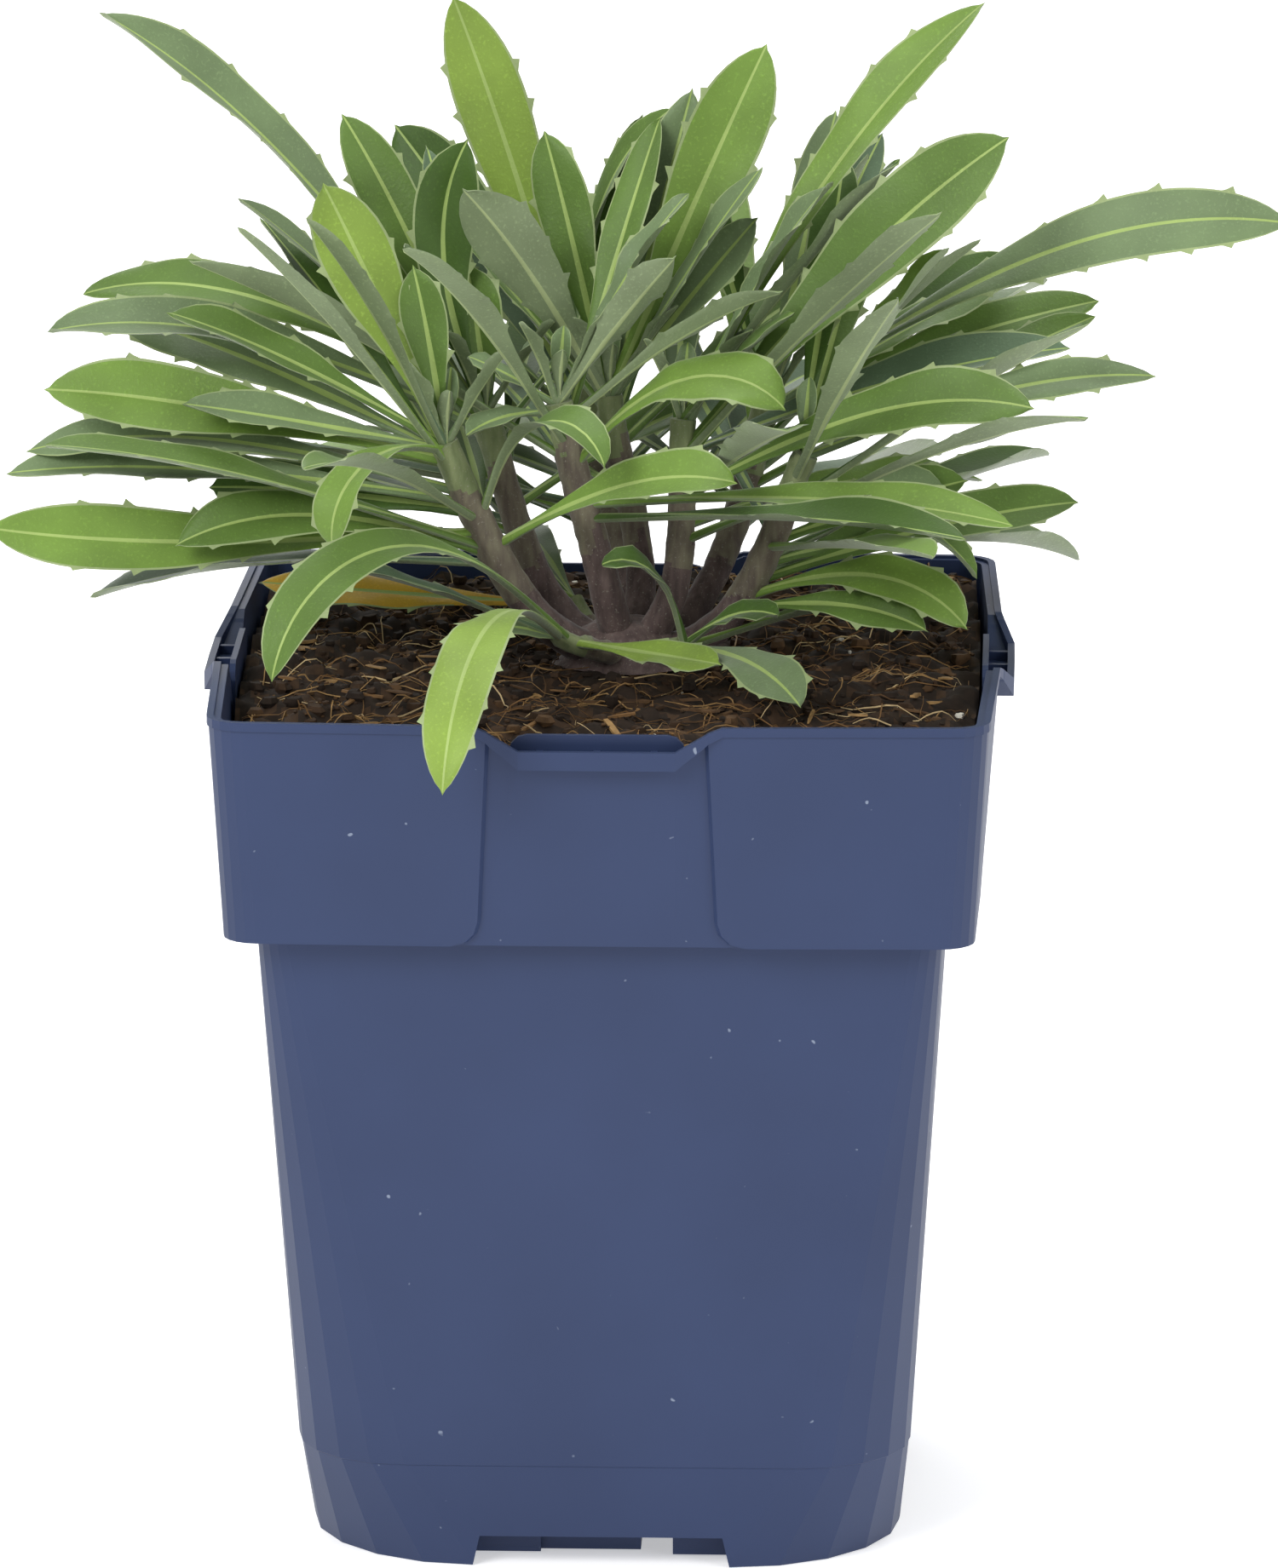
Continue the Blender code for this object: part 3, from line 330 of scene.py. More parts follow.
def ring_points(ring):
    """The points of one ring, side by side and corner by corner, anticlockwise from the front."""
    edge = panel_edge(max(ring.height, COLLAR_HEIGHT))
    stations = [-edge - LIP_REST, -edge - PANEL_BEVEL, -edge, -LIP_FULL, 0.0]
    stations += [-station for station in reversed(stations[:-1])]
    reach = (ring.half - ring.corner) / (COLLAR_HALF - COLLAR_CORNER)
    points = []
    for quarter in range(4):
        spin = quarter * math.pi / 2
        side = []
        for station in stations:
            along = station * min(reach, 1.0)
            raised = ring.panel if abs(station) > edge + PANEL_BEVEL / 2 else 0.0
            bump = lip(station)
            out = ring.half + ring.out + raised + ring.lip_out * bump + side_bow(station, ring.height)
            side.append((along, -out, ring.height - ring.lip_drop * bump))
        middle = ring.half - ring.corner
        radius = ring.corner + ring.out + ring.panel
        for step in range(CORNER_STEPS + 1):
            angle = -math.pi / 2 + step * math.pi / 2 / CORNER_STEPS
            side.append((middle + radius * math.cos(angle), -middle + radius * math.sin(angle), ring.height))
        for x, y, z in side:
            right = x * math.cos(spin) - y * math.sin(spin)
            back = x * math.sin(spin) + y * math.cos(spin)
            turned = Vector((right, back, z))
            points.append(turned)
    return points


def half_at(height):
    """The outer wall's half width and corner radius between the mould line and the neck, or on the collar."""
    if height >= COLLAR_HEIGHT:
        share = (height - COLLAR_HEIGHT) / (POT_HEIGHT - COLLAR_HEIGHT)
        return COLLAR_HALF + (RIM_HALF - COLLAR_HALF) * share, COLLAR_CORNER
    if height >= LINE_HEIGHT:
        share = (height - LINE_HEIGHT) / (COLLAR_HEIGHT - LINE_HEIGHT)
        return LINE_HALF + (NECK_HALF - LINE_HALF) * share, LINE_CORNER + (NECK_CORNER - LINE_CORNER) * share
    share = height / LINE_HEIGHT
    return BASE_HALF + (LINE_HALF - BASE_HALF) * share, BASE_CORNER + (LINE_CORNER - BASE_CORNER) * share


def inner_ring(height, inside_collar, shrink=0.0):
    """The wall's inner face at this height, or the same drawn in by a little for the soil."""
    if inside_collar:
        half, corner = half_at(height)
    else:
        half, corner = half_at(min(height, COLLAR_HEIGHT - MM / 1000))
    inset = WALL + shrink
    return wall_ring(half - inset, max(corner - inset, MM), height)


def loft(rings):
    """A closed solid through rings of the same number of points, with a fan on each end."""
    points = [point for ring in rings for point in ring]
    count = len(rings[0])
    faces = []
    for row in range(len(rings) - 1):
        for i in range(count):
            following = (i + 1) % count
            low, high = row * count, (row + 1) * count
            faces.append((low + i, low + following, high + following, high + i))
    for row, flip in ((0, True), (len(rings) - 1, False)):
        middle = len(points)
        ring = rings[row]
        points.append(sum(ring, Vector()) / count)
        for i in range(count):
            corner = (row * count + i, row * count + (i + 1) % count, middle)
            faces.append(corner[::-1] if flip else corner)
    return points, faces


def soil_height(x, y):
    """The surface of the compost: flat at the crown, low at the front left, high at the back right."""
    far = math.hypot(x - CROWN_X, y)
    rough = smooth((far - SOIL_FLAT) / (12 * MM))
    waves = (
        math.sin(310 * x + 1.3) * math.cos(270 * y - 0.4)
        + 0.7 * math.sin(560 * x - 430 * y + 2.1)
        + 0.5 * math.cos(820 * y + 390 * x)
    )
    tilt = SOIL_TILT_RIGHT * (x - CROWN_X) + SOIL_TILT_BACK * y
    edge = max(abs(x), abs(y)) / RIM_HALF
    sunk = 1.2 * MM * smooth((edge - 0.8) / 0.2)
    return SOIL_LEVEL + rough * (tilt + SOIL_BUMP * waves - sunk)


def crown_point(bearing, lean, grown=0.0):
    """A point on the crown's mound, or that much above it, and the direction out of it."""
    turn, tilt = math.radians(bearing), math.radians(lean)
    out = Vector((math.sin(tilt) * math.sin(turn), -math.sin(tilt) * math.cos(turn), math.cos(tilt)))
    point = Vector((CROWN_X, 0, CROWN_BASE))
    point += Vector((
        out.x * (CROWN_WIDE + grown), out.y * (CROWN_DEEP + grown), out.z * (CROWN_TALL + grown),
    ))
    return point, out


def shoot_curve(shoot):
    """The four points of a shoot's curve: its foot on the crown, two that bend it, and its tip."""
    start, out = crown_point(shoot.bearing, shoot.lean, grown=1.0 * MM)
    tip = Vector((shoot.tip[0] * MM, shoot.tip[1] * MM, SOIL_LEVEL + shoot.tip[2] * MM))
    reach = (tip - start).length
    upward = Vector(((tip.x - start.x) * 0.25, (tip.y - start.y) * 0.25, reach * 0.3))
    return start, start + out * reach * 0.3, tip - upward, tip


def shoot_point(curve, share):
    a, b, c, d = curve
    rest = 1 - share
    return a * rest**3 + b * 3 * rest**2 * share + c * 3 * rest * share**2 + d * share**3


def shoot_direction(curve, share):
    low = max(share - 0.01, 0.0)
    high = min(share + 0.01, 1.0)
    return (shoot_point(curve, high) - shoot_point(curve, low)).normalized()


def stem_rings(shoot, start, end, sides, steps, grown=0.0):
    curve = shoot_curve(shoot)
    rings = []
    for step in range(steps + 1):
        share = start + (end - start) * step / steps
        along = shoot_direction(curve, share)
        across = along.cross(Vector((0.2, -1, 0.1))).normalized()
        other = along.cross(across)
        radius = (shoot.foot_thick + (shoot.tip_thick - shoot.foot_thick) * share) * MM / 2 + grown
        centre = shoot_point(curve, share)
        rings.append([
            centre + (
                across * math.cos(math.tau * i / sides) + other * math.sin(math.tau * i / sides)
            ) * radius
            for i in range(sides)
        ])
    return rings


def blade_share(share):
    """A leaf's half outline: a narrow stalk that widens late, then a short point."""
    if share < WIDEST:
        return PETIOLE_SHARE + (1 - PETIOLE_SHARE) * smooth((share - BLADE_START) / (WIDEST - BLADE_START))
    beyond = (share - WIDEST) / (1 - WIDEST)
    return max(1 - beyond**2.3, 0.0) ** 0.7


def leaf_frames(leaf, root, stations):
    """Centre, side and upper direction at each station, walking from the root to the tip."""
    fine = 40
    wanted = [round(station * fine) for station in stations]
    frames = []
    point = root.copy()
    for i in range(fine + 1):
        share = i / fine
        pitch = math.radians(leaf.rise - leaf.droop * share**2)
        turn = math.radians(leaf.turn + leaf.sweep * share)
        roll = math.radians(leaf.roll + leaf.twist * share)
        along = Vector((math.cos(pitch) * math.sin(turn), -math.cos(pitch) * math.cos(turn), math.sin(pitch)))
        flat = Vector((math.cos(turn), math.sin(turn), 0))
        upper = along.cross(flat)
        side = flat * math.cos(roll) + upper * math.sin(roll)
        if i in wanted:
            frames.append((point.copy(), side, along.cross(side)))
        point += along * leaf.length * MM / fine
    return frames


def leaf_solid(leaf, root, margin=0.0, outer_only=False):
    """A closed blade, four points round at each station and one at the tip."""
    stations = LEAF_STATIONS if leaf.length > YOUNG_LENGTH else YOUNG_STATIONS
    first = OUTER_PART if outer_only else 0
    frames = leaf_frames(leaf, root, stations)[first:]
    stations = stations[first:]
    points = []
    for (centre, side, upper), share in zip(frames, stations):
        half = leaf.width * MM / 2 * blade_share(share) + margin
        thick = PETIOLE_THICK + (BLADE_THICK - PETIOLE_THICK) * smooth(share / 0.4) + 2 * margin
        fold = math.radians(leaf.fold) * smooth(share / 0.3)
        if share == 1.0:
            points.append(centre)
            continue
        lifted = upper * math.sin(fold) * half
        spread = side * math.cos(fold) * half
        points += [centre - spread + lifted, centre + upper * thick / 2, centre + spread + lifted]
        points.append(centre - upper * thick / 2)
    faces = [(0, 1, 2), (0, 2, 3)]
    rows = len(stations) - 1
    for row in range(rows - 1):
        for i in range(4):
            a, b = row * 4 + i, row * 4 + (i + 1) % 4
            faces += [(a, a + 4, b + 4), (a, b + 4, b)]
    tip = len(points) - 1
    last = (rows - 1) * 4
    faces += [(last + i, tip, last + (i + 1) % 4) for i in range(4)]
    return points, faces


def tree_of(points, faces):
    return BVHTree.FromPolygons(points, faces)


def meets_pot(point):
    """Whether a point is in the rim or the soil, or too close over them."""
    reach = max(abs(point.x), abs(point.y))
    along = min(abs(point.x), abs(point.y))
    if reach > RIM_HALF - WALL - POT_CLEAR:
        outer = RIM_HALF + SIDE_BOW + PANEL_OUT + BEAD_OUT / 3 + POT_CLEAR + LIP_OUT * lip(along)
        return reach < outer and point.z < POT_HEIGHT + POT_CLEAR
    return point.z < soil_height(point.x, point.y) + POT_CLEAR


class Planting:
    """Every leaf that has been placed, and the solids that the next one has to miss."""

    def __init__(self):
        self.curves = {shoot.name: shoot_curve(shoot) for shoot in SHOOTS}
        self.placed = {shoot.name: [] for shoot in SHOOTS}
        self.whole = []
        self.outer = []
        self.stems = []
        for shoot in SHOOTS:
            stem = loft(stem_rings(shoot, 0.0, 1.0, STEM_SIDES, STEM_STEPS, grown=0.4 * MM))
            self.stems.append((shoot.name, tree_of(*stem)))
            if shoot.bough:
                bough = loft(stem_rings(shoot, 0.0, shoot.bough + 0.02, STEM_SIDES, 3, grown=0.4 * MM))
                self.stems.append((None, tree_of(*bough)))
        self.stems.append((None, tree_of(*crown_shell())))

    def root(self, leaf):
        return shoot_point(self.curves[leaf.shoot], leaf.at)

    def free(self, leaf):
        root = self.root(leaf)
        solid = leaf_solid(leaf, root, margin=TEST_MARGIN / 2)
        if any(meets_pot(point) for point in solid[0][4:]):
            return None
        whole = tree_of(*solid)
        for owner, stem in self.stems:
            if owner != leaf.shoot and stem.overlap(whole):
                return None
        for owner, other in self.whole:
            if owner != leaf.shoot and other.overlap(whole):
                return None
        outer = tree_of(*leaf_solid(leaf, root, margin=TEST_MARGIN / 2, outer_only=True))
        for owner, other in self.outer:
            if owner == leaf.shoot and other.overlap(outer):
                return None
        return whole, outer

    def add(self, leaf):
        """Places a leaf, turned a little where it would touch something, or leaves it out."""
        for turn, rise in NUDGES:
            tried = leaf._replace(turn=leaf.turn + turn, rise=leaf.rise + rise)
            found = self.free(tried)
            if found:
                self.whole.append((leaf.shoot, found[0]))
                self.outer.append((leaf.shoot, found[1]))
                self.placed[leaf.shoot].append(tried)
                return True
        return False


def crown_shell():
    rings = []
    for lean in (90, 60, 30):
        rings.append([
            crown_point(360 * i / CROWN_SIDES, lean, grown=0.5 * MM)[0] for i in range(CROWN_SIDES)
        ])
    return loft(rings)


def seeded_leaf(fill, number, rng):
    """A leaf by the plant's own rule: round the stem by the golden turn, long below and short on top."""
    up = (number + 0.5) / fill.count
    turn = fill.middle + fill.spread * math.sin(math.radians(number * GOLDEN_TURN + 20)) + rng.uniform(-8, 8)
    low = not next(shoot.bough for shoot in SHOOTS if shoot.name == fill.shoot)
    length = rng.uniform(66, 84) * (1 - 0.45 * up**2) * (0.6 if low else 1.0)
    return Leaf(
        fill.shoot,
        at=0.45 + 0.55 * up if not low else 0.6 + 0.4 * up,
        turn=turn,
        rise=4 + 66 * up**1.2 + rng.uniform(-6, 6) if not low else 18 + 10 * up,
        length=length,
        width=max(length * rng.uniform(0.135, 0.165), 6.5),
        droop=rng.uniform(6, 34) * (1 - 0.5 * up),
        sweep=rng.uniform(-14, 14),
        roll=rng.uniform(-16, 16),
        twist=rng.uniform(-18, 18),
        fold=rng.uniform(10, 26),
    )


def young_leaves(shoot):
    """The tuft of small upright leaves in the heart of a shoot's tip."""
    return [
        Leaf(shoot.name, 0.99, number * GOLDEN_TURN + 30, 84 - 9 * number, 10 + 3.5 * number,
             3.4 + 0.7 * number,
             8, 0, 0, 0, 26)
        for number in range(4)
    ]


def plant_leaves():
    """Every leaf of the plant, by shoot."""
    planting = Planting()
    missed = [leaf for leaf in LEAVES if not planting.add(leaf)]
    for shoot in SHOOTS:
        if shoot.bough:
            for leaf in young_leaves(shoot):
                planting.add(leaf)
    rng = random.Random(SEED)
    for fill in FILLS:
        for number in range(fill.count):
            planting.add(seeded_leaf(fill, number, rng))
    return planting, missed


# Pieces

class Piece:
    """A joined mesh in the making: its points, its faces and the material of each face."""

    def __init__(self, name, slot, nodes, materials):
        self.name = name
        self.slot = slot
        self.nodes = nodes
        self.materials = materials
        self.points = []
        self.faces = []
        self.looks = []

    def add(self, points, faces, looks):
        """Adds a shape. looks is one material number, or one for each face."""
        first = len(self.points)
        self.points += points
        self.faces += [tuple(first + corner for corner in face) for face in faces]
        self.looks += looks if isinstance(looks, list) else [looks] * len(faces)

    def build(self, sharp=50):
        mesh = bpy.data.meshes.new(self.name)
        mesh.from_pydata(self.points, [], self.faces)
        for material in self.materials:
            mesh.materials.append(material)
        mesh.polygons.foreach_set("material_index", self.looks)
        mesh.polygons.foreach_set("use_smooth", [True] * len(self.faces))
        mesh.set_sharp_from_angle(angle=math.radians(sharp))
        obj = bpy.data.objects.new(self.name, mesh)
        bpy.context.scene.collection.objects.link(obj)
        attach(obj, "root")
        if self.nodes:
            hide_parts(*self.nodes)
        return obj


# Materials

def new_material(name, roughness, specular=0.5):
    material = bpy.data.materials.new(name)
    material.use_nodes = True
    tree = material.node_tree
    shader = tree.nodes["Principled BSDF"]
    shader.inputs["Roughness"].default_value = roughness
    shader.inputs["Specular IOR Level"].default_value = specular
    return material, tree, shader


def noise_of(tree, scale, detail=2.0, stretch=None):
    """A noise over the piece's own place in metres, drawn out along an axis where stretch says so."""
    place = tree.nodes.new("ShaderNodeTexCoord")
    texture = tree.nodes.new("ShaderNodeTexNoise")
    texture.inputs["Scale"].default_value = scale
    texture.inputs["Detail"].default_value = detail
    source = place.outputs["Object"]
    if stretch:
        mapping = tree.nodes.new("ShaderNodeMapping")
        mapping.inputs["Scale"].default_value = stretch
        tree.links.new(source, mapping.inputs["Vector"])
        source = mapping.outputs["Vector"]
    tree.links.new(source, texture.inputs["Vector"])
    return texture.outputs["Fac"]


def steps_of(tree, value, low, high):
    """Spreads a value between low and high over the whole of 0 to 1."""
    spread = tree.nodes.new("ShaderNodeMapRange")
    spread.inputs["From Min"].default_value = low
    spread.inputs["From Max"].default_value = high
    tree.links.new(value, spread.inputs["Value"])
    return spread.outputs["Result"]


def mixed(tree, factor, first, second):
    """One colour passing into another. Each is a colour or a node's output."""
    mix = tree.nodes.new("ShaderNodeMix")
    mix.data_type = "RGBA"
    tree.links.new(factor, mix.inputs["Factor"])
    for name, colour in (("A", first), ("B", second)):
        socket = next(s for s in mix.inputs if s.name == name and s.type == "RGBA")
        if isinstance(colour, tuple):
            socket.default_value = (*colour, 1)
        else:
            tree.links.new(colour, socket)
    return next(s for s in mix.outputs if s.type == "RGBA")


def bumped(tree, shader, height, distance, strength=1.0):
    bump = tree.nodes.new("ShaderNodeBump")
    bump.inputs["Strength"].default_value = strength
    bump.inputs["Distance"].default_value = distance
    tree.links.new(height, bump.inputs["Height"])
    tree.links.new(bump.outputs["Normal"], shader.inputs["Normal"])


def shaded(colour, factor):
    return tuple(value * factor for value in colour)


def leaf_material(name, colour, roughness=0.5, grain=0.22, sheen=0.12):
    """Soft felted leaf: a fine grain of short hairs over a slow change of tone."""
    material, tree, shader = new_material(name, roughness, 0.35)
    shader.inputs["Sheen Weight"].default_value = sheen
    shader.inputs["Sheen Roughness"].default_value = 0.45
    fine = noise_of(tree, 1900, 2)
    broad = noise_of(tree, 90, 2)
    slow = mixed(tree, steps_of(tree, broad, 0.3, 0.7), shaded(colour, 0.86), shaded(colour, 1.12))
    light = shaded(colour, 1 + grain * 1.6)
    toned = mixed(tree, steps_of(tree, fine, 0.56, 0.8), slow, light)
    tree.links.new(toned, shader.inputs["Base Color"])
    bumped(tree, shader, fine, 0.12 * MM, 0.5)
    return material


def bark_material(name, colour, light):
    """Young stem: dull skin with grey hairs, streaked along its length."""
    material, tree, shader = new_material(name, 0.65, 0.3)
    shader.inputs["Sheen Weight"].default_value = 0.15
    streak = noise_of(tree, 700, 3, stretch=(1, 1, 0.22))
    fine = noise_of(tree, 2600, 2)
    skin = mixed(tree, steps_of(tree, streak, 0.35, 0.68), colour, light)
    haired = mixed(tree, steps_of(tree, fine, 0.62, 0.82), skin, srgb(150, 146, 132))
    tree.links.new(haired, shader.inputs["Base Color"])
    bumped(tree, shader, streak, 0.25 * MM, 0.6)
    return material


def plain_material(name, colour, roughness, spread=0.3, scale=500):
    material, tree, shader = new_material(name, roughness, 0.3)
    grain = noise_of(tree, scale, 3)
    toned = mixed(
        tree, steps_of(tree, grain, 0.3, 0.7), shaded(colour, 1 - spread), shaded(colour, 1 + spread)
    )
    tree.links.new(toned, shader.inputs["Base Color"])
    bumped(tree, shader, grain, 0.2 * MM, 0.5)
    return material


def navy_material(name, colour, roughness):
    """Moulded plastic: a satin skin, faintly clouded, with a few pale specks of dust."""
    material, tree, shader = new_material(name, roughness, 0.28)
    cloud = noise_of(tree, 26, 3)
    skin = noise_of(tree, 1500, 2)
    dust = noise_of(tree, 520, 1)
    body = mixed(tree, steps_of(tree, cloud, 0.3, 0.7), shaded(colour, 0.93), shaded(colour, 1.07))
    speckled = mixed(tree, steps_of(tree, dust, 0.79, 0.83), body, srgb(120, 130, 150))
    tree.links.new(speckled, shader.inputs["Base Color"])
    bumped(tree, shader, skin, 0.03 * MM, 0.35)
    return material


# Leaves

def all_frames(leaf, root):
    return leaf_frames(leaf, root, [step / WALK_STEPS for step in range(WALK_STEPS + 1)])


def frame_at(frames, share):
    """The walk's centre, side and upper direction at any share of the length."""
    place = min(max(share, 0.0), 1.0) * WALK_STEPS
    low = min(int(place), WALK_STEPS - 1)
    part = place - low
    first, second = frames[low], frames[low + 1]
    centre = first[0].lerp(second[0], part)
    side = first[1].lerp(second[1], part).normalized()
    upper = first[2].lerp(second[2], part).normalized()
    return centre, side, upper


def teeth_of(leaf, rng):
    """Where each margin's teeth stand, as shares of the length, and how far they stick out."""
    teeth = {-1: [], 1: []}
    length = leaf.length * MM
    if length < 26 * MM:
        return teeth
    for side in (-1, 1):
        share = TOOTH_FROM + rng.uniform(0.0, 0.6) * TOOTH_SPACING / length
        while share < TOOTH_TO:
            teeth[side].append((share, rng.uniform(0.55, 1.25) * MM))
            share += TOOTH_SPACING / length * rng.uniform(0.75, 1.4)
    return teeth


def leaf_rows(leaf, teeth):
    """Every share of the length that has a row of points: evenly spread, and three for each tooth."""
    length = leaf.length * MM
    count = min(max(round(length * ROWS_PER_METRE), FEWEST_ROWS), MOST_ROWS)
    rows = {1 - (1 - step / count) ** 1.25 for step in range(count)}
    rows |= {0.985, 0.997}
    for side in (-1, 1):
        for share, _ in teeth[side]:
            rows |= {share - TOOTH_RISE / length, share, share + TOOTH_FALL / length}
    return sorted(row for row in rows if 0 <= row < 1)


def tooth_out(teeth, share, length):
    """How far a tooth pushes the margin out here."""
    out = 0.0
    for place, height in teeth:
        along = (share - place) * length
        if -TOOTH_RISE < along <= 0:
            out = max(out, height * (1 + along / TOOTH_RISE) ** 1.5)
        elif 0 < along < TOOTH_FALL:
            out = max(out, height * (1 - along / TOOTH_FALL))
    return out


def fine_leaf(leaf, root, rng):
    """A leaf with its own outline, teeth, rib and curl: points, faces and each face's part."""
    frames = all_frames(leaf, root)
    length = leaf.length * MM
    teeth = teeth_of(leaf, rng)
    waves = {
        side: (rng.uniform(0, math.tau), rng.uniform(2.0, 3.6), rng.uniform(0.2, 0.7) * MM)
        for side in (-1, 1)
    }
    curl = rng.uniform(-0.10, 0.16)
    points = []
    rows = leaf_rows(leaf, teeth)
    for share in rows:
        centre, side, upper = frame_at(frames, share)
        half = leaf.width * MM / 2 * blade_share(share)
        blade = smooth(share / 0.45)
        thick = FINE_PETIOLE + (FINE_BLADE - FINE_PETIOLE) * blade
        fold = math.radians(leaf.fold) * smooth(share / 0.3)
        rib = min(RIB_HALF * (1.9 - 1.5 * share) / half, 0.3)
        columns = [column if column is not None else (-rib if place < MIDDLE_COLUMN else rib)
                   for place, column in enumerate(COLUMNS)]
        top, under = [], []
        for column in columns:
            margin = 1 if column > 0 else -1
            phase, turns, high = waves[margin]
            out = abs(column)
            wave = high * math.sin(phase + math.tau * turns * share) * out**2 * smooth((share - 0.3) / 0.3)
            folded = math.sin(fold) * half * (math.sqrt(out**2 + 0.02) - 0.14)
            lift = folded + curl * half * out**3 * blade + wave
            reach = math.cos(fold) * half * column
            if out == 1.0:
                reach += margin * tooth_out(teeth[margin], share, length)
            round_part = math.sqrt(max(1 - out**2, 0.0))
            flat_part = 1 - 0.6 * out**2 if out < 1 else 0.12
            body = thick / 2 * (round_part * (1 - blade) + flat_part * blade)
            place = centre + side * reach + upper * lift
            near_rib = math.exp(-(column / max(rib, 0.01) / 1.3) ** 2) * blade
            top.append(place + upper * (body - RIB_GROOVE * near_rib))
            under.append(place - upper * (body + RIB_RIDGE * near_rib * (1 - 0.7 * share)))
        points += top + under[-2:0:-1]
    around = 2 * len(COLUMNS) - 2
    centre, side, upper = frame_at(frames, 1.0)
    onward = (centre - frame_at(frames, 0.97)[0]).normalized()
    points.append(centre + onward * (TIP_POINT if length > 26 * MM else 0.0))
    faces, parts = [], []
    for row in range(len(rows) - 1):
        for i in range(around):
            following = (i + 1) % around
            low, high = row * around, (row + 1) * around
            faces.append((low + i, low + following, high + following, high + i))
            parts.append(part_of_leaf(i, rows[row]))
    last = (len(rows) - 1) * around
    for i in range(around):
        faces.append((last + i, last + (i + 1) % around, len(points) - 1))
        parts.append(part_of_leaf(i, 1.0))
    faces.append(tuple(reversed(range(around))))
    parts.append("rib")
    return points, faces, parts


def part_of_leaf(around, share):
    """Which part of the leaf a face is on, by its place round the section."""
    columns = len(COLUMNS) - 1
    if around < columns:
        if around in (0, columns - 1):
            return "margin" if share > 0.35 else "blade"
        return "rib" if around in (MIDDLE_COLUMN - 1, MIDDLE_COLUMN) else "blade"
    return "under rib" if around - columns in (MIDDLE_COLUMN - 1, MIDDLE_COLUMN) else "under"


def tone_of(leaf, shoot, number):
    """The listed leaves have their own tone, some with painted light or painted shade in it; the rest are
    dealt one by turn.
    """
    for place, listed in enumerate(LEAVES):
        known = (listed.shoot, listed.at, listed.length, listed.width)
        if known == (shoot, leaf.at, leaf.length, leaf.width):
            return TONES[place]
    return FILL_TONES[number % len(FILL_TONES)] if leaf.length > YOUNG_LENGTH else "sage"


def build_leaves(planting, looks):
    order = list(LEAF_COLOURS) + ["margin", "rib", "under", "under rib"]
    for shoot in SHOOTS:
        piece = Piece(
            f"leaves_{shoot.name}", "leaf", [f"foliage_{shoot.name}"], [looks[name] for name in order]
        )
        for number, leaf in enumerate(planting.placed[shoot.name]):
            rng = random.Random(f"{shoot.name} {number}")
            points, faces, parts = fine_leaf(leaf, planting.root(leaf), rng)
            tone = tone_of(leaf, shoot.name, number)
            piece.add(points, faces, [order.index(tone if part == "blade" else part) for part in parts])
        piece.build()


# Stems

def fine_stem(shoot, curve, leaves, start, end, sunk=0.0):
    """A stem's skin between two shares, ridged under each leaf that leaves it."""
    a, b, c, d = curve
    length = (b - a).length + (c - b).length + (d - c).length
    steps = max(round((end - start) * length / FINE_STEM_STEP), 3)
    rings, shares = [], []
    for step in range(steps + 1):
        share = start + (end - start) * step / steps
        along = shoot_direction(curve, share)
        across = along.cross(Vector((0.2, -1, 0.1))).normalized()
        other = along.cross(across)
        centre = shoot_point(curve, share)
        if step == 0:
            centre = centre - along * sunk
        radius = (shoot.foot_thick + (shoot.tip_thick - shoot.foot_thick) * share) * MM / 2
        ridges = []
        for leaf in leaves:
            below = (leaf.at - share) * length
            if -1.5 * MM < below < RIDGE_LENGTH:
                turn, rise = math.radians(leaf.turn), math.radians(leaf.rise)
                heading = Vector((
                    math.cos(rise) * math.sin(turn), -math.cos(rise) * math.cos(turn), math.sin(rise),
                ))
                angle = math.atan2(heading.dot(other), heading.dot(across))
                ridges.append((angle, (1 - max(below, 0.0) / RIDGE_LENGTH)))
        ring = []
        for i in range(FINE_SIDES):
            angle = math.tau * i / FINE_SIDES
            out = across * math.cos(angle) + other * math.sin(angle)
            raised = 0.0
            for ridge, fading in ridges:
                apart = math.remainder(angle - ridge, math.tau)
                raised = max(raised, RIDGE_HEIGHT * fading * math.exp(-(apart / RIDGE_WIDE) ** 2))
            place = centre + out * radius
            rough = noise.noise(place * 420) * 0.22 * MM + noise.noise(place * 1300) * 0.08 * MM
            ring.append(place + out * (raised + rough - 0.15 * MM))
        rings.append(ring)
        shares.append(share)
    return rings, shares


def stem_tone(place, share, low):
    """Young green at the top, mauve-grey in the middle, dark at the foot, with ragged limits."""
    height = share + 0.14 * noise.noise(place * 260) + (0.35 if low else 0.0)
    if height < 0.34:
        return 0
    return 1 if height < 0.78 else 2


def build_stems(planting, materials):
    bark = Piece("bark", "bark", ["trunk"] + [f"bough_{s.name}" for s in SHOOTS if s.bough], materials)
    bark.add(*fine_crown(), 0)
    for shoot in SHOOTS:
        curve = planting.curves[shoot.name]
        leaves = planting.placed[shoot.name]
        if shoot.bough:
            rings, shares = fine_stem(shoot, curve, leaves, 0.0, shoot.bough, sunk=1.8 * MM)
            add_stem(bark, rings, shares, False)
        stem = Piece(f"stem_{shoot.name}", "bark", [f"foliage_{shoot.name}"], materials)
        sunk = 0.0 if shoot.bough else 1.6 * MM
        rings, shares = fine_stem(shoot, curve, leaves, shoot.bough, 1.0, sunk=sunk)
        add_stem(stem, rings, shares, not shoot.bough)
        stem.build(sharp=70)
    bark.build(sharp=70)


def add_stem(piece, rings, shares, low):
    points, faces = loft(rings)
    looks = []
    for face in faces:
        row = min(min(face) // FINE_SIDES, len(shares) - 1)
        looks.append(stem_tone(points[face[0]], shares[row], low))
    piece.add(points, faces, looks)


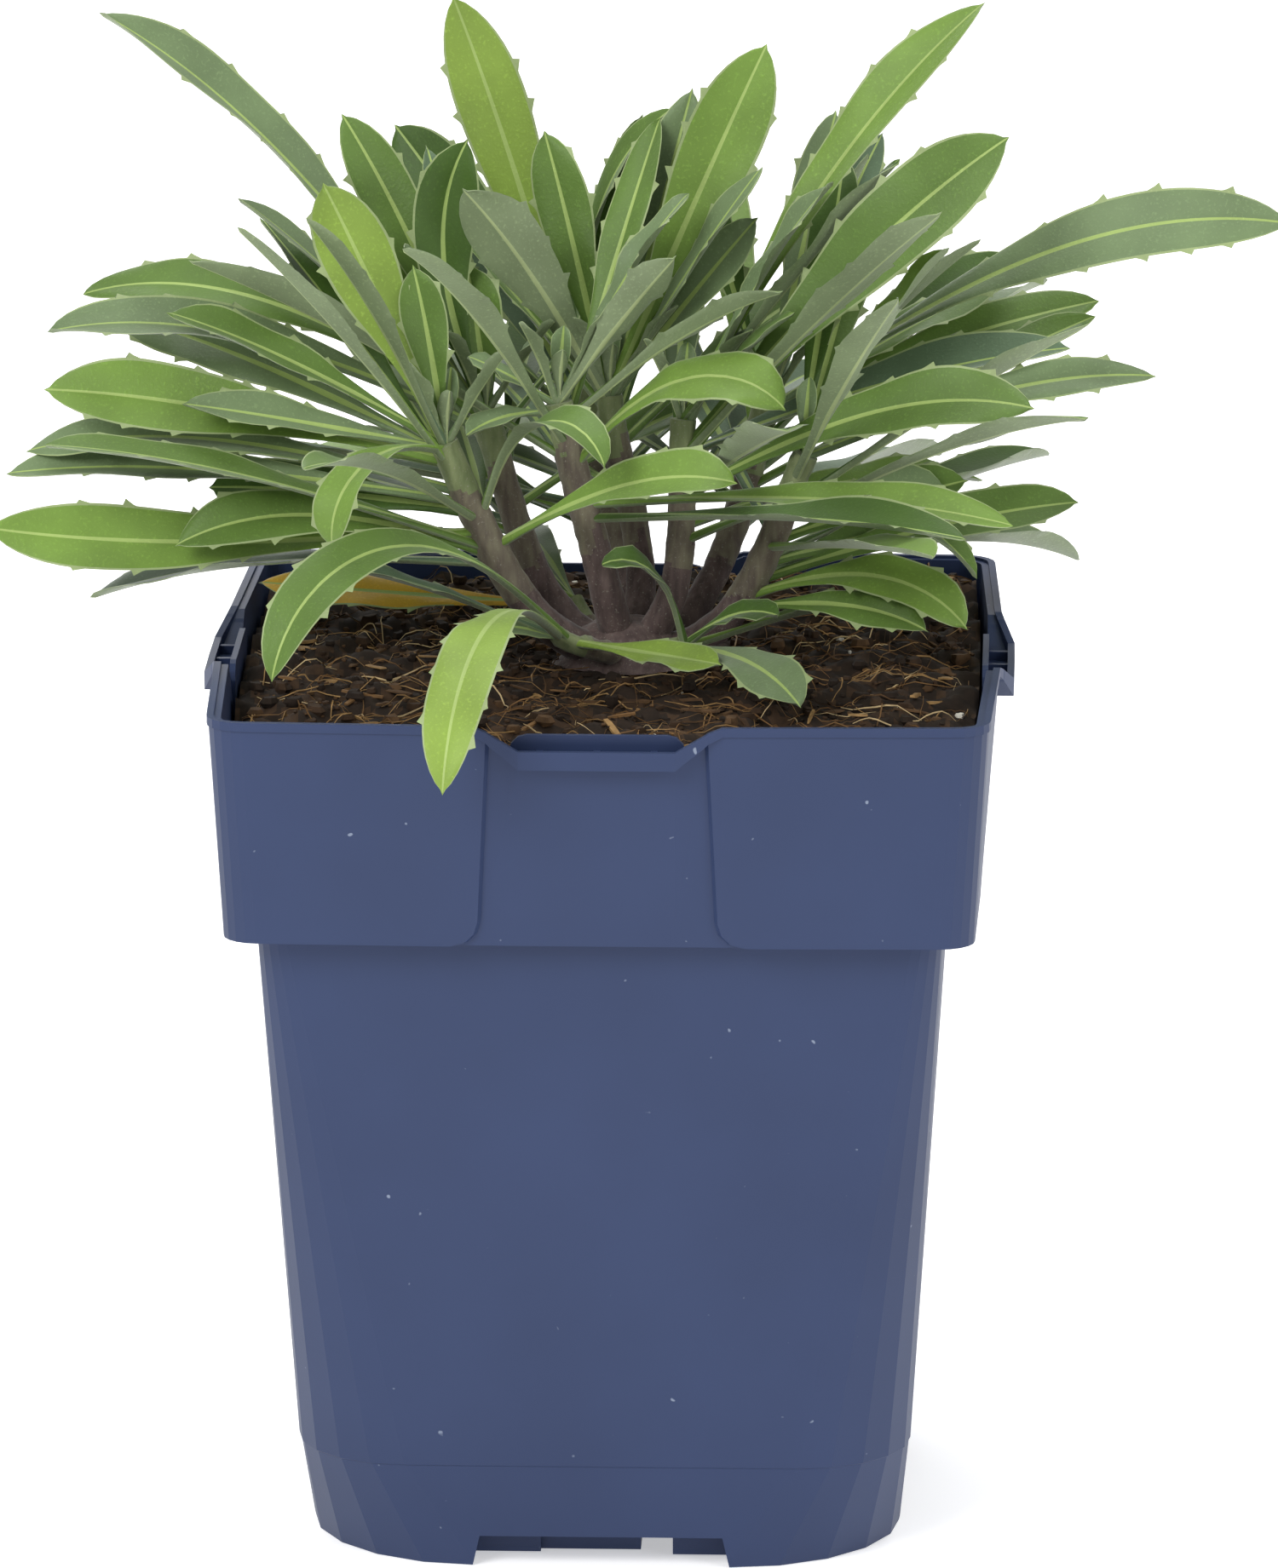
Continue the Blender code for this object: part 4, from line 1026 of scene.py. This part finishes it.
def fine_crown():
    rings = []
    rows, sides = 14, 64
    for row in range(rows):
        lean = 90 - 84 * row / (rows - 1)
        flare = 1 + (CROWN_FLARE - 1) * max(1 - row / 3, 0.0) ** 2
        ring = []
        for i in range(sides):
            point, out = crown_point(360 * i / sides, lean)
            lobe = 1 + 0.035 * math.cos(5 * math.tau * i / sides)
            place = Vector((CROWN_X + (point.x - CROWN_X) * flare * lobe, point.y * flare * lobe, point.z))
            ring.append(place + out * (noise.noise(place * 300) * 0.5 + noise.noise(place * 900) * 0.25) * MM)
        rings.append(ring)
    return loft(rings)


# Compost

def soil_edge(height, inside_collar=True):
    """The compost's edge at this height in fine steps, just inside the pot's wall."""
    corners = ring_points(inner_ring(height, inside_collar, shrink=CLEAR))
    reference = ring_points(inner_ring(SOIL_LEVEL, True, shrink=CLEAR))
    outline = []
    for i, point in enumerate(corners):
        following = (i + 1) % len(corners)
        steps = max(round((reference[following] - reference[i]).length / SOIL_EDGE_STEP), 1)
        outline += [point.lerp(corners[following], step / steps) for step in range(steps)]
    return outline


def ground(x, y):
    """The compost's fine surface over its broad one."""
    place = Vector((x, y, 0))
    lumps = noise.noise(place * 190) * 0.9 + noise.noise(place * 480) * 0.55 + noise.noise(place * 1100) * 0.3
    return soil_height(x, y) + lumps * MM


def build_soil(materials):
    piece = Piece("compost", "compost", ["soil"], materials)
    ledge = COLLAR_HEIGHT + WALL
    heights = (FLOOR_UNDER + FLOOR_THICK + CLEAR, LINE_HEIGHT, ledge - CLEAR)
    rings = [soil_edge(height, False) for height in heights]
    rings += [soil_edge(ledge + CLEAR, False), soil_edge(ledge + CLEAR, True)]
    edge = soil_edge(SOIL_LEVEL - 9 * MM)
    rings.append(edge)
    for step in range(SOIL_FINE_RINGS):
        share = 1 - step / SOIL_FINE_RINGS
        rings.append([Vector((p.x * share, p.y * share, ground(p.x * share, p.y * share))) for p in edge])
    points, faces = loft(rings)
    looks = [0 if noise.noise(points[face[0]] * 350) < 0.12 else 1 for face in faces]
    piece.add(points, faces, looks)
    piece.build(sharp=80)


def edge_half():
    return half_at(SOIL_LEVEL - 9 * MM)[0] - WALL - CLEAR


def soil_place(rng):
    """A place on the compost, clear of the wall and the crown."""
    reach = edge_half() - 1.5 * MM
    while True:
        x, y = rng.uniform(-reach, reach), rng.uniform(-reach, reach)
        if math.hypot(x - CROWN_X, y) > CROWN_WIDE + 2 * MM:
            return x, y


def lump(centre, radius, rng, squash=1.0, sides=7, rows=4):
    """A rough closed grain."""
    rings = []
    seed = Vector((rng.uniform(0, 9), rng.uniform(0, 9), rng.uniform(0, 9)))
    stretch = rng.uniform(0.7, 1.35)
    turn = rng.uniform(0, math.tau)
    for row in range(1, rows):
        tilt = math.pi * row / rows
        ring = []
        for i in range(sides):
            angle = math.tau * i / sides
            out = Vector((math.sin(tilt) * math.cos(angle), math.sin(tilt) * math.sin(angle), math.cos(tilt)))
            size = radius * (1 + 0.45 * noise.noise(out * 1.7 + seed))
            x, y = out.x * size * stretch, out.y * size / stretch
            ring.append(centre + Vector((
                x * math.cos(turn) - y * math.sin(turn),
                x * math.sin(turn) + y * math.cos(turn),
                out.z * size * squash,
            )))
        rings.append(ring)
    return loft(rings[::-1])


def fibre(start, heading, length, radius, bend, rng, lift=0.35 * MM):
    """A thin thread that lies over the compost."""
    rings = []
    x, y = start
    steps = 7
    high = rng.uniform(0.2, 1.0) * MM
    reach = edge_half() - 0.6 * MM
    for step in range(steps + 1):
        share = step / steps
        side = Vector((-math.sin(heading), math.cos(heading), 0))
        z = ground(x, y) + lift + high * math.sin(math.pi * share)
        thin = radius * (1 - 0.6 * abs(2 * share - 1))
        centre = Vector((x, y, z))
        up = Vector((0, 0, 1))
        rings.append([
            centre + (side * math.cos(a) + up * math.sin(a)) * thin
            for a in (0, math.tau / 3, 2 * math.tau / 3)
        ])
        heading += bend / steps + rng.uniform(-0.16, 0.16)
        x = min(max(x + math.cos(heading) * length / steps, -reach), reach)
        y = min(max(y + math.sin(heading) * length / steps, -reach), reach)
    return loft(rings)


def chip(centre, heading, long, wide, high, rng):
    """A splinter of wood or bark."""
    along = Vector((math.cos(heading), math.sin(heading), rng.uniform(-0.25, 0.25))).normalized()
    across = along.cross(Vector((0, 0, 1))).normalized()
    up = across.cross(along)
    rings = []
    for share in (-0.5, -0.2, 0.25, 0.5):
        scale = 1 - abs(share) * rng.uniform(0.4, 1.2)
        middle = centre + along * long * share + up * rng.uniform(-0.2, 0.2) * high
        corners = ((-1, -0.8), (1, -1), (0.8, 1), (-0.9, 0.7))
        rings.append([middle + across * wide / 2 * a * scale + up * high / 2 * b * scale for a, b in corners])
    return loft(rings)


def build_litter(materials):
    """Crumbs, threads, splinters and grains on the compost."""
    rng = random.Random(SEED + 1)
    crumbs = Piece("crumbs", "compost", [], materials)
    for _ in range(CRUMBS):
        x, y = soil_place(rng)
        radius = (0.35 + 1.25 * rng.random() ** 3) * MM
        centre = Vector((x, y, ground(x, y) + 0.25 * radius))
        crumbs.add(*lump(centre, radius, rng, squash=rng.uniform(0.6, 0.95)), rng.choice((0, 0, 1, 1, 2)))
    for _ in range(PERLITE):
        x, y = soil_place(rng)
        radius = rng.uniform(0.35, 0.8) * MM
        crumbs.add(*lump(Vector((x, y, ground(x, y) + 0.5 * radius)), radius, rng), 6)
    crumbs.build(sharp=40)
    threads = Piece("threads", "compost", [], materials)
    for _ in range(FIBRES):
        long = rng.uniform(3, 17) * MM
        radius = rng.uniform(0.07, 0.2) * MM
        shape = fibre(soil_place(rng), rng.uniform(0, math.tau), long, radius, rng.uniform(-1.6, 1.6), rng)
        threads.add(*shape, rng.choice((2, 3, 3, 4, 4, 5)))
    threads.build(sharp=60)
    chips = Piece("chips", "compost", [], materials)
    for _ in range(CHIPS):
        x, y = soil_place(rng)
        long, wide, high = rng.uniform(2, 7.5) * MM, rng.uniform(0.5, 1.7) * MM, rng.uniform(0.3, 0.8) * MM
        middle = Vector((x, y, ground(x, y) + 0.3 * MM))
        chips.add(*chip(middle, rng.uniform(0, math.tau), long, wide, high, rng),
                  rng.choice((2, 2, 3, 4)))
    chips.build(sharp=30)


# Studio

def area_light(name, place, aim, size, power, colour=(1, 1, 1)):
    data = bpy.data.lights.new(name, "AREA")
    data.shape = "RECTANGLE"
    data.size, data.size_y = size
    data.energy = power
    data.color = colour
    lamp = bpy.data.objects.new(name, data)
    lamp.location = place
    lamp.rotation_euler = (Vector(aim) - Vector(place)).to_track_quat("-Z", "Y").to_euler()
    bpy.context.scene.collection.objects.link(lamp)


def build_studio():
    world = bpy.data.worlds.new("studio")
    world.use_nodes = True
    background = world.node_tree.nodes["Background"]
    background.inputs["Color"].default_value = (1, 1, 1, 1)
    background.inputs["Strength"].default_value = 0.42
    bpy.context.scene.world = world
    bpy.context.scene.view_settings.view_transform = "Standard"
    aim = (0, 0, 0.15)
    area_light("key", (-1.1, -1.5, 1.5), aim, (1.1, 1.1), 30)
    area_light("fill", (1.5, -1.2, 0.9), aim, (1.0, 1.2), 13)
    area_light("top", (0.1, 0.3, 1.8), aim, (1.4, 1.0), 16)
    area_light("back", (-0.6, 1.6, 1.0), aim, (1.2, 0.8), 9)
    mesh = bpy.data.meshes.new("floor")
    wide = 6.0
    low = -0.0001
    corners = [(-wide, -wide, low), (wide, -wide, low), (wide, wide, low), (-wide, wide, low)]
    mesh.from_pydata(corners, [], [(0, 1, 2, 3)])
    floor = bpy.data.objects.new("floor", mesh)
    bpy.context.scene.collection.objects.link(floor)
    material, _, shader = new_material("pale floor", 0.9, 0.0)
    shader.inputs["Base Color"].default_value = (0.9, 0.9, 0.9, 1)
    shader.inputs["Emission Color"].default_value = (1, 1, 1, 1)
    shader.inputs["Emission Strength"].default_value = 0.45
    mesh.materials.append(material)


CAMERA_AZIMUTH = math.radians(2.0)
CAMERA_RISE = math.radians(13.9)
CAMERA_FAR = 2.045
CAMERA_AIM_RIGHT = 0.0047
CAMERA_AIM_HIGH = 0.1244
CAMERA_LENS = 273.9


def build_camera():
    data = bpy.data.cameras.new("camera")
    data.lens = CAMERA_LENS
    data.sensor_fit = "VERTICAL"
    data.sensor_height = 36
    data.clip_end = 50
    camera = bpy.data.objects.new("camera", data)
    right = Vector((math.cos(CAMERA_AZIMUTH), math.sin(CAMERA_AZIMUTH), 0))
    back = Vector((
        math.sin(CAMERA_AZIMUTH) * math.cos(CAMERA_RISE),
        -math.cos(CAMERA_AZIMUTH) * math.cos(CAMERA_RISE),
        math.sin(CAMERA_RISE),
    ))
    aim = right * CAMERA_AIM_RIGHT + Vector((0, 0, CAMERA_AIM_HIGH))
    camera.location = aim + back * CAMERA_FAR
    camera.rotation_euler = (-back).to_track_quat("-Z", "Y").to_euler()
    bpy.context.scene.collection.objects.link(camera)
    bpy.context.scene.camera = camera


build_camera()
build_studio()
planting, _ = plant_leaves()
leaf_looks = {name: leaf_material(f"leaf {name}", colour) for name, colour in LEAF_COLOURS.items()}
leaf_looks["rib"] = leaf_material("leaf rib", RIB_COLOUR, grain=0.1)
leaf_looks["margin"] = leaf_material("leaf margin", MARGIN_COLOUR, grain=0.1)
leaf_looks["under"] = leaf_material("leaf underside", UNDER_COLOUR, grain=0.3, sheen=0.2)
leaf_looks["under rib"] = leaf_material("underside rib", UNDER_RIB_COLOUR, grain=0.1)
build_leaves(planting, leaf_looks)
build_stems(planting, [
    bark_material("stem dark", srgb(74, 60, 58), srgb(104, 88, 84)),
    bark_material("stem mauve", srgb(92, 82, 72), srgb(118, 112, 92)),
    bark_material("stem green", srgb(104, 116, 76), srgb(128, 138, 96)),
])
soil_looks = [
    plain_material("peat black", srgb(38, 28, 20), 0.9),
    plain_material("peat brown", srgb(58, 42, 28), 0.9),
    plain_material("peat crumb", srgb(84, 62, 40), 0.85),
    plain_material("thread tan", srgb(150, 118, 74), 0.7),
    plain_material("thread brown", srgb(112, 82, 48), 0.7),
    plain_material("thread pale", srgb(196, 172, 128), 0.7),
    plain_material("perlite", srgb(206, 202, 190), 0.8),
]
build_soil(soil_looks[:2])
build_litter(soil_looks)
navy = navy_material("navy plastic", srgb(44, 57, 90), 0.48)
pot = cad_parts["pot"]
pot.data.materials.clear()
pot.data.materials.append(navy)
